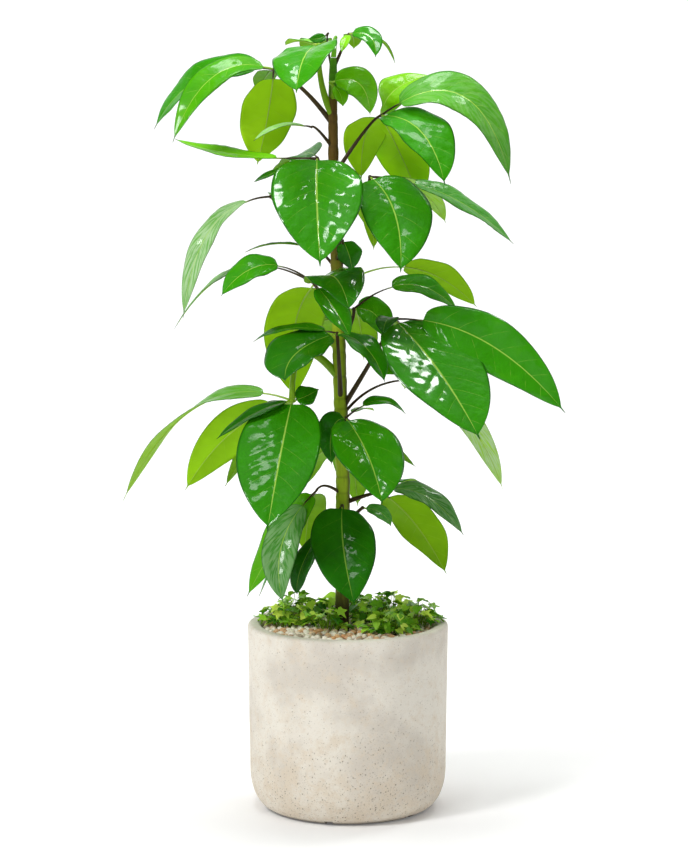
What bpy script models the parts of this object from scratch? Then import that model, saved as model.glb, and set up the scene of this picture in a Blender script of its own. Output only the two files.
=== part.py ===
"""A potted plant, after one photograph: a single upright stem in a concrete pot, with large hand-shaped
leaves on long stalks, small creeping ground cover and pebbles over the soil.

Metres, +Z up. The origin is on the ground under the middle of the pot, and -Y faces the viewer.
"""
import math
import random

import bmesh
import bpy
from mathutils import Matrix, Vector

# Pot
POT_RADIUS = 0.140            # at the rim
POT_HEIGHT = 0.262
POT_TAPER = 0.0025            # how much narrower the wall is above the rounded foot
POT_WALL = 0.018
POT_FLOOR = 0.030
FOOT_RADIUS = 0.105
FOOT_ROUND_HEIGHT = 0.055
RIM_ROUND = 0.005
NOTCH_COUNT = 6               # drainage notches under the foot's edge, in a flat underside
NOTCH_WIDTH = 0.011
NOTCH_HEIGHT = 0.0025
NOTCH_REACH = 0.090           # length of a notch's cutter, with its middle at the foot's edge
NOTCH_FIRST_ANGLE = math.radians(-103)
POT_SIDES = 40

# Filling
GAP = 0.0003                  # between solids that touch
STALK_GAP = 0.00033           # between the stem and the leaf stalks
SOIL_TOP = 0.2475
PEBBLE_BED = 0.0055           # depth of the bed that the pebbles stand out of
PEBBLE_RISE = 0.0055
PEBBLE_SPACING = 0.0190
PEBBLE_ROW = 0.87             # distance between rows of stones, as a share of the spacing
PEBBLE_SHIFT = 0.10           # how far a stone lies off its row, as a share of the spacing
PEBBLE_HALF = 0.55            # half width of a stone, as a share of the spacing
PEBBLE_CELLS = 23             # cells across the bed's surface
PEBBLE_SIZES = (0.70, 1.00)   # smallest and largest stone's rise, as a share of PEBBLE_RISE

# Stem
STEM_RADIUS = 0.0095
STEM_LINE = [                 # middle of the stem, from the soil up
    (-0.008, 0.0, 0.120), (-0.008, 0.0, 0.300), (-0.007, 0.0, 0.460), (-0.011, 0.0, 0.600),
    (-0.015, 0.0, 0.750), (-0.020, 0.0, 0.900), (-0.021, 0.0, 1.000), (-0.020, 0.0, 1.046),
]
STEM_TOP_RADIUS = 0.0050
STEM_THINS_FROM = 0.30
STEM_STEPS = 12
STEM_TAPER = 3                # the higher, the closer to the top the stem thins
JOINT_DROP = 0.004            # a stem's joint lies this far below the middle of its leaf stalk
JOINT_REACH = 0.006
JOINT_SWELL = 1.10
BUD_RADIUS = 0.0030
BUD_LINE = [                  # middle of the growing tip, a slim folded shoot, above its foot
    (-0.0196, 0.0, 1.0530), (-0.0188, 0.0, 1.0640), (-0.0160, 0.0, 1.0760),
]
BUD_SHAPE = (1.2, 1.0, 0.95, 0.45)          # its radius from its foot to its rounded top, as a share

# Leaves
BLADE_THICKNESS = 0.0011
STALK_RADIUS = 0.0021
STALK_SHAPE = (1.9, 1.5, 1.1, 0.95, 1.05)   # a stalk's radius from the stem to the leaflets, as a share
SHORT_STALK = 0.05            # stalks shorter than this are slimmer
SHORT_STALK_SHARE = 0.65
LEAFLET_STALK_RADIUS = 0.0013
FACE_OUTWARD = 0.8            # how far a blade's face leans outward, against 1 straight up
FOLD = 0.12                   # how far a blade's edges stand above its midrib, as a share of its half width
BLADE_WIDEST = 0.86           # below 1 the widest place moves towards the base
BLADE_SHOULDER = 0.44         # the lower, the fuller the blade at its base
BLADE_TAPER = 0.30            # the higher, the slimmer the blade towards its tip
LONG_LEAFLET, MIDDLE_LEAFLET = 0.10, 0.05   # lengths from which a blade has 5 and 4 rows of faces
LOOK_AHEAD = 0.01             # share of a leaflet's length over which its direction is measured

# One entry for each hand-shaped leaf: the height at which its stalk leaves the stem, a point that the stalk
# passes halfway, the point where its leaflets meet, and its leaflets. A leaflet has its tip, a point that its
# midrib passes halfway, its width, how far it is turned about its midrib in degrees, or for a twisted one
# how far at its foot and at its tip, and the share of its length that is bare stalk.
LEAVES = {
    "leaf_top_left": (0.955, (-0.062, 0.008, 1.003), (-0.102, 0.020, 1.030), [
        ((-0.272, 0.095, 0.946), (-0.203, 0.061, 1.018), 0.064, -42, 0.10),
        ((-0.238, -0.047, 0.931), (-0.182, -0.016, 1.021), 0.046, -32, 0.08),
        ((-0.128, 0.108, 0.896), (-0.112, 0.061, 0.964), 0.080, 0, 0.10),
        ((-0.126, 0.135, 0.996), (-0.114, 0.081, 1.021), 0.034, 0, 0.20),
    ]),
    "leaf_crown_left": (0.968, (-0.036, 0.000, 1.010), (-0.040, 0.003, 1.062), [
        ((-0.069, -0.115, 0.999), (-0.059, -0.061, 1.046), 0.090, 12, 0.06),
        ((-0.087, 0.054, 1.063), (-0.064, 0.027, 1.069), 0.034, 0, 0.15),
        ((-0.046, 0.128, 1.029), (-0.045, 0.068, 1.066), 0.046, 0, 0.15),
    ]),
    "leaf_crown_right": (1.030, (-0.008, 0.000, 1.058), (0.001, 0.000, 1.078), [
        ((0.037, -0.034, 1.046), (0.030, -0.016, 1.074), 0.028, 30, 0.06),
        ((-0.009, -0.030, 1.053), (-0.004, -0.016, 1.068), 0.014, 0, 0.10),
        ((0.065, 0.034, 1.038), (0.040, 0.016, 1.073), 0.020, 12, 0.15),
        ((0.008, 0.050, 1.058), (0.007, 0.026, 1.074), 0.026, 0, 0.15),
    ]),
    "leaf_crown_front": (0.990, (-0.020, -0.018, 1.004), (-0.024, -0.018, 1.012), [
        ((0.030, -0.041, 0.967), (0.015, -0.030, 1.011), 0.044, 55, 0.06),
        ((-0.007, -0.027, 0.980), (-0.012, -0.024, 0.999), 0.022, 40, 0.20),
    ]),
    "leaf_crown_small": (1.024, (-0.028, 0.016, 1.062), (-0.027, 0.016, 1.079), [
        ((-0.054, 0.010, 1.072), (-0.040, 0.013, 1.072), 0.015, -60, 0.16),
    ]),
    "leaf_upper_right": (0.885, (0.022, 0.004, 0.945), (0.045, 0.007, 0.967), [
        ((0.223, -0.014, 0.874), (0.156, -0.004, 0.994), 0.074, 38, 0.10),
        ((0.130, -0.095, 0.876), (0.099, -0.047, 0.946), 0.082, 12, 0.05),
        ((0.120, 0.101, 1.021), (0.067, 0.051, 1.003), 0.044, 40, 0.06),
        ((0.106, 0.121, 0.840), (0.069, 0.081, 0.922), 0.094, 0, 0.10),
        ((0.019, 0.108, 0.875), (0.024, 0.061, 0.938), 0.060, 0, 0.12),
    ]),
    "leaf_sliver": (0.922, (-0.040, -0.014, 0.947), (-0.050, -0.016, 0.952), [
        ((-0.128, -0.054, 0.934), (-0.091, -0.035, 0.954), 0.020, -8, 0.12),
    ]),
    "leaf_big_front": (0.855, (-0.033, -0.022, 0.889), (-0.042, -0.027, 0.910), [
        ((-0.037, -0.162, 0.771), (-0.042, -0.095, 0.858), 0.124, 0, 0.04),
        ((-0.111, 0.101, 0.882), (-0.065, 0.061, 0.912), 0.052, -22, 0.12),
        ((-0.238, 0.014, 0.935), (-0.158, 0.000, 0.915), 0.036, -16, 0.22),
        ((-0.129, -0.014, 0.877), (-0.096, -0.022, 0.892), 0.022, -20, 0.30),
    ]),
    "leaf_front_right": (0.790, (0.018, -0.011, 0.851), (0.030, -0.011, 0.884), [
        ((0.070, -0.128, 0.761), (0.063, -0.070, 0.837), 0.098, 5, 0.05),
        ((0.231, 0.047, 0.788), (0.137, 0.020, 0.857), 0.046, 32, 0.28),
        ((0.139, 0.121, 0.813), (0.096, 0.068, 0.865), 0.038, -12, 0.20),
        ((0.036, 0.054, 0.778), (0.034, 0.030, 0.843), 0.036, 0, 0.10),
    ]),
    "leaf_left_arch": (0.800, (-0.070, -0.005, 0.842), (-0.106, -0.011, 0.857), [
        ((-0.226, -0.034, 0.691), (-0.187, -0.024, 0.814), 0.036, (0, -65), 0.18),
        ((-0.068, 0.115, 0.788), (-0.083, 0.057, 0.847), 0.050, 0, 0.12),
    ]),
    "leaf_left_thin": (0.755, (-0.035, 0.005, 0.778), (-0.050, 0.008, 0.786), [
        ((-0.143, 0.027, 0.778), (-0.098, 0.019, 0.791), 0.022, 0, 0.20),
    ]),
    "leaf_stem_front": (0.768, (-0.009, -0.030, 0.787), (-0.007, -0.030, 0.798), [
        ((0.005, -0.035, 0.758), (0.001, -0.034, 0.779), 0.042, 30, 0.05),
    ]),
    "leaf_middle_left": (0.695, (-0.032, -0.019, 0.718), (-0.046, -0.024, 0.738), [
        ((-0.242, 0.034, 0.671), (-0.152, 0.008, 0.756), 0.030, -16, 0.35),
        ((-0.173, -0.061, 0.724), (-0.114, -0.041, 0.765), 0.046, -36, 0.36),
        ((-0.074, 0.081, 0.566), (-0.075, 0.047, 0.670), 0.086, 0, 0.06),
        ((0.002, -0.142, 0.710), (-0.018, -0.081, 0.751), 0.078, 8, 0.04),
        ((0.003, -0.081, 0.670), (-0.020, -0.051, 0.708), 0.042, 10, 0.10),
    ]),
    "leaf_right_pale": (0.715, (0.006, 0.008, 0.734), (0.012, 0.008, 0.746), [
        ((0.182, 0.081, 0.697), (0.099, 0.046, 0.753), 0.046, -45, 0.38),
    ]),
    "leaf_middle_back": (0.655, (0.004, -0.003, 0.682), (0.008, -0.005, 0.702), [
        ((0.153, 0.014, 0.697), (0.084, 0.003, 0.735), 0.044, 35, 0.34),
        ((0.050, -0.016, 0.662), (0.037, -0.011, 0.695), 0.048, 42, 0.05),
        ((0.023, 0.121, 0.617), (0.016, 0.068, 0.679), 0.050, 0, 0.12),
    ]),
    "leaf_middle_front": (0.575, (-0.012, -0.030, 0.623), (-0.015, -0.035, 0.671), [
        ((-0.085, -0.101, 0.612), (-0.070, -0.068, 0.647), 0.090, -8, 0.06),
        ((-0.131, 0.000, 0.656), (-0.080, -0.016, 0.676), 0.036, -12, 0.12),
        ((0.050, -0.084, 0.609), (0.024, -0.061, 0.654), 0.060, 0, 0.06),
    ]),
    "leaf_right_long": (0.560, (0.038, -0.019, 0.642), (0.063, -0.027, 0.690), [
        ((0.296, -0.081, 0.566), (0.184, -0.054, 0.663), 0.077, 60, 0.16),
        ((0.176, -0.162, 0.541), (0.123, -0.097, 0.625), 0.136, 12, 0.05),
        ((0.047, -0.095, 0.675), (0.053, -0.061, 0.692), 0.030, 0, 0.10),
        ((0.129, 0.108, 0.603), (0.099, 0.054, 0.655), 0.058, 0, 0.12),
    ]),
    "leaf_right_back": (0.550, (0.040, 0.005, 0.593), (0.107, 0.027, 0.599), [
        ((0.221, 0.095, 0.435), (0.174, 0.061, 0.532), 0.036, -40, 0.10),
        ((0.050, 0.007, 0.654), (0.075, 0.018, 0.637), 0.028, -8, 0.22),
        ((0.050, -0.010, 0.611), (0.077, 0.004, 0.619), 0.030, -38, 0.18),
        ((0.080, 0.081, 0.581), (0.093, 0.057, 0.600), 0.034, 0, 0.20),
    ]),
    "leaf_lower_front": (0.492, (-0.003, -0.027, 0.528), (-0.003, -0.035, 0.554), [
        ((0.046, -0.162, 0.453), (0.027, -0.097, 0.510), 0.098, 0, 0.04),
        ((-0.022, -0.054, 0.490), (-0.022, -0.049, 0.539), 0.040, -35, 0.05),
        ((0.080, -0.016, 0.557), (0.042, -0.024, 0.577), 0.028, 18, 0.25),
        ((0.037, 0.034, 0.556), (0.016, 0.003, 0.562), 0.018, 0, 0.25),
        ((0.096, 0.074, 0.471), (0.048, 0.030, 0.510), 0.032, 0, 0.12),
    ]),
    "leaf_lower_left": (0.605, (-0.061, -0.012, 0.641), (-0.077, -0.041, 0.579), [
        ((-0.108, -0.176, 0.419), (-0.092, -0.111, 0.510), 0.116, 0, 0.04),
        ((-0.040, -0.032, 0.594), (-0.058, -0.035, 0.584), 0.036, 40, 0.15),
        ((-0.180, -0.068, 0.529), (-0.128, -0.057, 0.563), 0.034, -12, 0.08),
        ((-0.228, 0.020, 0.445), (-0.160, -0.007, 0.532), 0.064, 60, 0.15),
        ((-0.314, 0.000, 0.432), (-0.208, -0.014, 0.568), 0.038, (-60, 48), 0.14),
        ((-0.176, 0.095, 0.438), (-0.123, 0.041, 0.523), 0.044, 0, 0.12),
        ((-0.126, 0.128, 0.495), (-0.105, 0.054, 0.553), 0.052, 0, 0.12),
    ]),
    "leaf_bottom_left": (0.442, (-0.030, -0.016, 0.457), (-0.044, -0.022, 0.451), [
        ((-0.140, -0.047, 0.306), (-0.091, -0.038, 0.392), 0.058, -30, 0.06),
        ((-0.125, 0.007, 0.296), (-0.086, -0.005, 0.379), 0.040, -20, 0.15),
        ((-0.088, -0.108, 0.309), (-0.090, -0.070, 0.386), 0.050, -15, 0.15),
        ((-0.062, 0.115, 0.340), (-0.055, 0.061, 0.408), 0.050, 0, 0.12),
    ]),
    "leaf_bottom_front": (0.370, (-0.008, -0.030, 0.403), (-0.008, -0.035, 0.432), [
        ((0.009, -0.142, 0.312), (-0.006, -0.089, 0.379), 0.090, 0, 0.04),
        ((-0.070, -0.068, 0.313), (-0.057, -0.057, 0.366), 0.038, -15, 0.30),
    ]),
    "leaf_bottom_right": (0.430, (0.022, -0.005, 0.441), (0.046, -0.005, 0.447), [
        ((0.160, -0.047, 0.392), (0.105, -0.024, 0.445), 0.042, 22, 0.15),
        ((0.140, 0.061, 0.319), (0.093, 0.034, 0.398), 0.076, -25, 0.12),
        ((0.115, 0.115, 0.410), (0.081, 0.061, 0.453), 0.038, 0, 0.15),
    ]),
    "leaf_small_right": (0.396, (0.012, -0.035, 0.422), (0.020, -0.041, 0.430), [
        ((0.059, -0.051, 0.406), (0.045, -0.046, 0.424), 0.024, 34, 0.08),
    ]),
    "leaf_back_upper": (0.820, (-0.014, 0.041, 0.848), (-0.012, 0.078, 0.864), [
        ((-0.069, 0.189, 0.783), (-0.041, 0.135, 0.848), 0.044, 0, 0.16),
        ((-0.017, 0.236, 0.780), (-0.014, 0.162, 0.847), 0.050, 0, 0.12),
        ((0.044, 0.203, 0.782), (0.017, 0.143, 0.845), 0.046, 0, 0.16),
        ((0.083, 0.130, 0.807), (0.037, 0.105, 0.853), 0.044, 0, 0.16),
    ]),
    "leaf_back_middle": (0.640, (-0.012, 0.038, 0.664), (-0.012, 0.070, 0.682), [
        ((-0.081, 0.146, 0.620), (-0.047, 0.111, 0.668), 0.048, 0, 0.14),
        ((-0.019, 0.209, 0.619), (-0.015, 0.142, 0.670), 0.052, 0, 0.12),
        ((0.038, 0.167, 0.615), (0.013, 0.119, 0.669), 0.048, 0, 0.14),
    ]),
    "leaf_back_lower": (0.465, (-0.008, 0.041, 0.489), (-0.006, 0.074, 0.505), [
        ((-0.079, 0.189, 0.406), (-0.045, 0.132, 0.477), 0.058, 0, 0.12),
        ((0.015, 0.223, 0.390), (0.006, 0.151, 0.471), 0.062, 0, 0.12),
        ((0.052, 0.159, 0.416), (0.025, 0.119, 0.480), 0.052, 0, 0.12),
    ]),
}

# Ground cover: the place where each spray comes out of the soil, the reach of its leaves, and how many it has
SPRAYS = {
    "ground_cover_left": ((-0.088, -0.004), 0.030, 10),
    "ground_cover_back_left": ((-0.070, 0.062), 0.031, 11),
    "ground_cover_back": ((-0.004, 0.090), 0.030, 11),
    "ground_cover_back_right": ((0.062, 0.070), 0.030, 11),
    "ground_cover_right": ((0.096, 0.002), 0.030, 11),
    "ground_cover_middle": ((0.036, 0.020), 0.027, 9),
    "ground_cover_front_right": ((0.058, -0.048), 0.028, 9),
    "ground_cover_front": ((-0.030, -0.036), 0.026, 8),
}
SPRAY_STEM_RADIUS = 0.0016
SPRAY_STALK_WIDTH = 0.0014
SPRAY_THICKNESS = 0.0008
SPRAY_FOOT = 0.215            # how far down a spray's stem starts
SPRAY_LOW, SPRAY_HIGH = 0.2690, 0.2940
SPRAY_CROWN = 0.006           # the stalks part within this distance below SPRAY_LOW
SPRAY_LEAF = 0.0112           # size of a ground-cover leaf, by which COVER_OUTLINE is multiplied
COVER_OUTLINE = ((0.05, -0.80), (0.62, -0.42), (1.5, 0.0), (0.62, 0.42), (0.05, 0.80))
COVER_SIZES = (0.85, 1.10)    # smallest and largest leaf, as a share of SPRAY_LEAF
COVER_LEAN = 25               # most degrees that a ground-cover leaf points up or down
GOLDEN_ANGLE = 2.39996        # from one leaf of a spray to the next
GOLDEN_SHARE = 0.382          # the same turn as a share of the circle, for the leaves' heights

SHARP_ANGLE = math.radians(35)  # an edge sharper than this isn't shaded smooth

# Colours, linear
CONCRETE = (0.72, 0.66, 0.56)
EARTH = (0.030, 0.020, 0.013)
PEBBLE = (0.55, 0.42, 0.28)
BARK = (0.16, 0.13, 0.05)
YOUNG_GREEN = (0.22, 0.46, 0.04)
LEAF_GREEN = (0.045, 0.26, 0.010)
COVER_GREEN = (0.10, 0.32, 0.03)


def clear_scene():
    for obj in list(bpy.data.objects):
        bpy.data.objects.remove(obj, do_unlink=True)


def make_collection(name):
    made = bpy.data.collections.new(name)
    bpy.context.scene.collection.children.link(made)
    return made


def material(name, colour, roughness):
    made = bpy.data.materials.new(name)
    made.use_nodes = True
    shader = made.node_tree.nodes["Principled BSDF"]
    shader.inputs["Base Color"].default_value = (*colour, 1.0)
    shader.inputs["Roughness"].default_value = roughness
    shader.inputs["Metallic"].default_value = 0.0
    return made


def add_object(name, data, collection):
    obj = bpy.data.objects.new(name, data)
    collection.objects.link(obj)
    return obj


def finish(obj, look):
    obj.data.materials.clear()
    obj.data.materials.append(look)
    obj.data.shade_smooth()
    obj.data.set_sharp_from_angle(angle=SHARP_ANGLE)


def evaluated_mesh(obj):
    """The object's mesh with its modifiers applied."""
    bpy.context.view_layer.update()
    graph = bpy.context.evaluated_depsgraph_get()
    return bpy.data.meshes.new_from_object(obj.evaluated_get(graph))


def apply_modifiers(obj):
    obj.data = evaluated_mesh(obj)
    obj.modifiers.clear()


def mesh_object(name, shape, collection):
    """The finished bmesh as an object."""
    mesh = bpy.data.meshes.new(name)
    shape.to_mesh(mesh)
    shape.free()
    return add_object(name, mesh, collection)


def combine(body, others, operation):
    """The body joined with all the others, or cut by them, in one Boolean. The others are removed."""
    group = make_collection("operands")
    for other in others:
        for holder in list(other.users_collection):
            holder.objects.unlink(other)
        group.objects.link(other)
    boolean = body.modifiers.new("combine", "BOOLEAN")
    boolean.operation = operation
    boolean.operand_type = "COLLECTION"
    boolean.collection = group
    boolean.solver = "EXACT"
    apply_modifiers(body)
    for other in others:
        bpy.data.objects.remove(other, do_unlink=True)
    bpy.data.collections.remove(group)


def along(start, halfway, end, share):
    """A point on the arc from start to end that passes halfway, and on its way there."""
    bend = 2 * Vector(halfway) - (Vector(start) + Vector(end)) / 2
    left = 1 - share
    return left * left * Vector(start) + 2 * left * share * bend + share * share * Vector(end)


def stem_point(height):
    """The middle of the stem at a height."""
    for low, high in zip(STEM_LINE, STEM_LINE[1:]):
        if height <= high[2]:
            share = (height - low[2]) / (high[2] - low[2])
            return Vector(low).lerp(Vector(high), share)
    return Vector(STEM_LINE[-1])


def stem_radius(height):
    """The stem thins slowly up to its green top, and swells a little where each leaf stalk leaves it."""
    share = max(0.0, (height - STEM_THINS_FROM) / (STEM_LINE[-1][2] - STEM_THINS_FROM))
    radius = STEM_RADIUS - (STEM_RADIUS - STEM_TOP_RADIUS) * share ** STEM_TAPER
    joints = (entry[0] for entry in LEAVES.values())
    nearest = min(abs(height - joint + JOINT_DROP) for joint in joints)
    return radius * (JOINT_SWELL if nearest < JOINT_REACH else 1.0)


def tube(name, points, radii, collection, resolution=0):
    """A round bar along the points, as a closed mesh."""
    curve = bpy.data.curves.new(name, "CURVE")
    curve.dimensions = "3D"
    curve.bevel_depth = 1.0
    curve.bevel_resolution = resolution
    curve.use_fill_caps = True
    spline = curve.splines.new("POLY")
    spline.points.add(len(points) - 1)
    for knot, place, radius in zip(spline.points, points, radii):
        knot.co = (*place, 1.0)
        knot.radius = radius
    guide = add_object(name + "_guide", curve, collection)
    mesh = evaluated_mesh(guide)
    bpy.data.objects.remove(guide, do_unlink=True)
    shape = bmesh.new()
    shape.from_mesh(mesh)
    bmesh.ops.remove_doubles(shape, verts=shape.verts, dist=1e-6)
    bmesh.ops.recalc_face_normals(shape, faces=shape.faces)
    shape.to_mesh(mesh)
    shape.free()
    return add_object(name, mesh, collection)


def turned(name, profile, collection):
    """A solid of revolution about Z. The profile goes out and up inside, then down outside to the axis."""
    mesh = bpy.data.meshes.new(name)
    edges = [(i, i + 1) for i in range(len(profile) - 1)]
    mesh.from_pydata([(x, 0.0, z) for x, z in profile], edges, [])
    obj = add_object(name, mesh, collection)
    screw = obj.modifiers.new("turn", "SCREW")
    screw.steps = POT_SIDES
    screw.render_steps = POT_SIDES
    screw.use_merge_vertices = True
    screw.merge_threshold = 0.00001
    apply_modifiers(obj)
    return obj


def arc(centre, across, up, first, last, steps):
    """Points on an elliptical arc, from the first angle to the last, in degrees."""
    made = []
    for i in range(steps + 1):
        angle = math.radians(first + (last - first) * i / steps)
        made.append((centre[0] + across * math.cos(angle), centre[1] + up * math.sin(angle)))
    return made


def build_pot(parts):
    inside = POT_RADIUS - POT_WALL
    wall = POT_RADIUS - POT_TAPER
    rim = POT_HEIGHT - RIM_ROUND
    profile = [(0.0, POT_FLOOR), (inside, POT_FLOOR)]
    profile += arc((inside + RIM_ROUND, rim), RIM_ROUND, RIM_ROUND, 180, 90, 2)
    profile += arc((POT_RADIUS - RIM_ROUND, rim), RIM_ROUND, RIM_ROUND, 90, 0, 2)
    profile += arc((FOOT_RADIUS, FOOT_ROUND_HEIGHT), wall - FOOT_RADIUS, FOOT_ROUND_HEIGHT, 0, -90, 6)
    profile.append((0.0, 0.0))
    pot = turned("pot", profile, parts)
    notches = []
    for i in range(NOTCH_COUNT):
        turn = Matrix.Rotation(NOTCH_FIRST_ANGLE + math.tau * i / NOTCH_COUNT, 4, "Z")
        shape = bmesh.new()
        bmesh.ops.create_cube(shape, size=1.0)
        bmesh.ops.scale(shape, verts=shape.verts, vec=(NOTCH_REACH, NOTCH_WIDTH, 2 * NOTCH_HEIGHT))
        bmesh.ops.translate(shape, verts=shape.verts, vec=(FOOT_RADIUS, 0.0, 0.0))
        bmesh.ops.transform(shape, verts=shape.verts, matrix=turn)
        notches.append(mesh_object("notch", shape, parts))
    combine(pot, notches, "DIFFERENCE")
    finish(pot, material("cast_concrete", CONCRETE, 0.8))


def pin(name, x, y, radius, low, high, collection, sides=8):
    """A plain upright round bar, as a stem's hole or a layer that fills the pot."""
    shape = bmesh.new()
    bmesh.ops.create_cone(shape, cap_ends=True, segments=sides, radius1=radius, radius2=radius,
                          depth=high - low)
    bmesh.ops.translate(shape, verts=shape.verts, vec=(x, y, (low + high) / 2))
    return mesh_object(name, shape, collection)


def stem_holes(parts):
    """A plain hole for the stem and for each spray of ground cover."""
    above = POT_HEIGHT + PEBBLE_SPACING
    x, y, low = STEM_LINE[0]
    pins = [pin("stem_hole", x, y, STEM_RADIUS + 2 * GAP, low - GAP, above, parts)]
    for (x, y), _, _ in SPRAYS.values():
        pins.append(pin("spray_hole", x, y, SPRAY_STEM_RADIUS + 2 * GAP, SPRAY_FOOT - GAP, above, parts))
    return pins


def pebble_height(x, y):
    """Height of the pebbles above the bed at a place: a dome for each stone, on staggered rows."""
    row = round(y / (PEBBLE_SPACING * PEBBLE_ROW))
    smallest, largest = PEBBLE_SIZES
    best = 0.0
    for near in (row - 1, row, row + 1):
        column = round(x / PEBBLE_SPACING - near % 2 / 2)
        for beside in (column - 1, column, column + 1):
            shift = Vector((math.sin(near * 12.9 + beside * 78.2), math.sin(near * 39.3 + beside * 11.1)))
            stone_x = (beside + near % 2 / 2 + PEBBLE_SHIFT * shift.x) * PEBBLE_SPACING
            stone_y = (near + PEBBLE_SHIFT * shift.y) * PEBBLE_SPACING * PEBBLE_ROW
            away = math.hypot(x - stone_x, y - stone_y) / (PEBBLE_SPACING * PEBBLE_HALF)
            size = smallest + (largest - smallest) * (0.5 + 0.5 * math.sin(near * 5.1 + beside * 7.7))
            best = max(best, size * math.sqrt(max(0.0, 1 - away * away)))
    return best * PEBBLE_RISE


def build_filling(parts):
    """Soil, and the pebbles that cover it as one bed with a stone's dome at each place."""
    room = POT_RADIUS - POT_WALL - GAP
    soil = pin("soil", 0.0, 0.0, room, POT_FLOOR + GAP, SOIL_TOP, parts, POT_SIDES)
    combine(soil, stem_holes(parts), "DIFFERENCE")
    finish(soil, material("potting_soil", EARTH, 1.0))

    low = SOIL_TOP + GAP
    shape = bmesh.new()
    bmesh.ops.create_grid(shape, x_segments=PEBBLE_CELLS, y_segments=PEBBLE_CELLS,
                          size=room + PEBBLE_SPACING / 4)
    walls = bmesh.ops.extrude_face_region(shape, geom=shape.faces[:])
    top = [item for item in walls["geom"] if isinstance(item, bmesh.types.BMVert)]
    for vert in top:
        vert.co.z = PEBBLE_BED + pebble_height(vert.co.x, vert.co.y)
    bmesh.ops.translate(shape, verts=shape.verts, vec=(0.0, 0.0, low))
    bmesh.ops.triangulate(shape, faces=shape.faces)
    bmesh.ops.recalc_face_normals(shape, faces=shape.faces)
    pebbles = mesh_object("pebbles", shape, parts)
    inside = pin("inside_of_pot", 0.0, 0.0, room, SOIL_TOP - PEBBLE_RISE, POT_HEIGHT, parts, POT_SIDES)
    combine(pebbles, [inside], "INTERSECT")
    combine(pebbles, stem_holes(parts), "DIFFERENCE")
    finish(pebbles, material("river_pebbles", PEBBLE, 0.6))


def stem_rings():
    """Heights of the stem's rings: an even step, and one at each leaf's joint."""
    low, high = STEM_LINE[0][2], STEM_LINE[-1][2]
    heights = [entry[0] - JOINT_DROP for entry in LEAVES.values()]
    heights += [low + (high - low) * i / STEM_STEPS for i in range(STEM_STEPS + 1)]
    kept = [low]
    for height in sorted(heights):
        if kept[-1] + 2 * JOINT_DROP < height < high - 2 * JOINT_DROP:
            kept.append(height)
    return kept + [high]


def stem_bar(name, extra, collection):
    heights = stem_rings()
    places = [stem_point(height) for height in heights]
    return tube(name, places, [stem_radius(height) + extra for height in heights], collection, 2)


def build_stem(parts, cutters):
    """The stem and its growing tip. It gives back the stem with its gap round it, which cuts the stalks."""
    finish(stem_bar("stem", 0.0, parts), material("stem_bark", BARK, 0.55))
    clearance = stem_bar("stem_clearance", STALK_GAP, cutters)
    clearance.hide_render = True
    clearance.display_type = "WIRE"
    top = Vector(STEM_LINE[-1])
    rise = (top - Vector(STEM_LINE[-2])).normalized()
    places = [top + rise * GAP] + [Vector(place) for place in BUD_LINE]
    radii = [BUD_RADIUS * share for share in BUD_SHAPE]
    finish(tube("stem_tip", places, radii, parts, 1), material("young_shoot", YOUNG_GREEN, 0.5))
    return clearance


def blade_outline(share):
    """Half width of a blade at a share of its length, from 0 to 1: broad shoulders and a pointed tip."""
    inside = min(1.0, max(0.0, share))
    hump = max(0.0, math.sin(math.pi * inside ** BLADE_WIDEST))
    return hump ** (BLADE_SHOULDER + BLADE_TAPER * inside)


def blade_point(hub, leaflet, place, side):
    """A point on a leaflet. The place runs along its midrib from 0 at the hub, and the side from -1 to 1."""
    tip, halfway, width, turn, bare = leaflet
    first, last = turn if isinstance(turn, tuple) else (turn, turn)
    before = along(hub, halfway, tip, max(place - LOOK_AHEAD, 0.0))
    after = along(hub, halfway, tip, min(place + LOOK_AHEAD, 1.0))
    ahead = (after - before).normalized()
    outward = Vector((tip[0] - hub[0], tip[1] - hub[1], 0.0)).normalized()
    up = FACE_OUTWARD * outward + Vector((0.0, 0.0, 1.0))
    up = (up - up.dot(ahead) * ahead).normalized()
    across = ahead.cross(up)
    angle = math.radians(first + (last - first) * place)
    face = math.cos(angle) * up + math.sin(angle) * across
    across = math.cos(angle) * across - math.sin(angle) * up
    half = width / 2 * blade_outline((place - bare) / (1 - bare))
    if place <= bare:
        half = LEAFLET_STALK_RADIUS
    return along(hub, halfway, tip, place) + across * side * half + face * abs(side) * half * FOLD


def leaflet_body(hub, leaflet, collection):
    """A thin leaflet on its own short stalk, folded a little along its midrib."""
    length = (Vector(leaflet[0]) - Vector(hub)).length
    bare = leaflet[4]
    rows = 5 if length > LONG_LEAFLET else 4 if length > MIDDLE_LEAFLET else 3
    shape = bmesh.new()
    bmesh.ops.create_grid(shape, x_segments=2, y_segments=rows + 1, size=1.0)
    for vert in shape.verts:
        row = round((vert.co.y + 1) / 2 * (rows + 1))
        place = 0.0 if row == 0 else bare + (1 - bare) * (row - 1) / rows
        vert.co = blade_point(hub, leaflet, place, vert.co.x)
    bmesh.ops.remove_doubles(shape, verts=shape.verts, dist=1e-5)
    bmesh.ops.triangulate(shape, faces=shape.faces)
    bmesh.ops.recalc_face_normals(shape, faces=shape.faces)
    body = mesh_object("leaflet", shape, collection)
    thicken(body, BLADE_THICKNESS)
    return body


def thicken(obj, thickness):
    """Gives an open surface its thickness, half on each side."""
    solid = obj.modifiers.new("thickness", "SOLIDIFY")
    solid.thickness = thickness
    solid.offset = 0.0
    apply_modifiers(obj)


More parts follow.
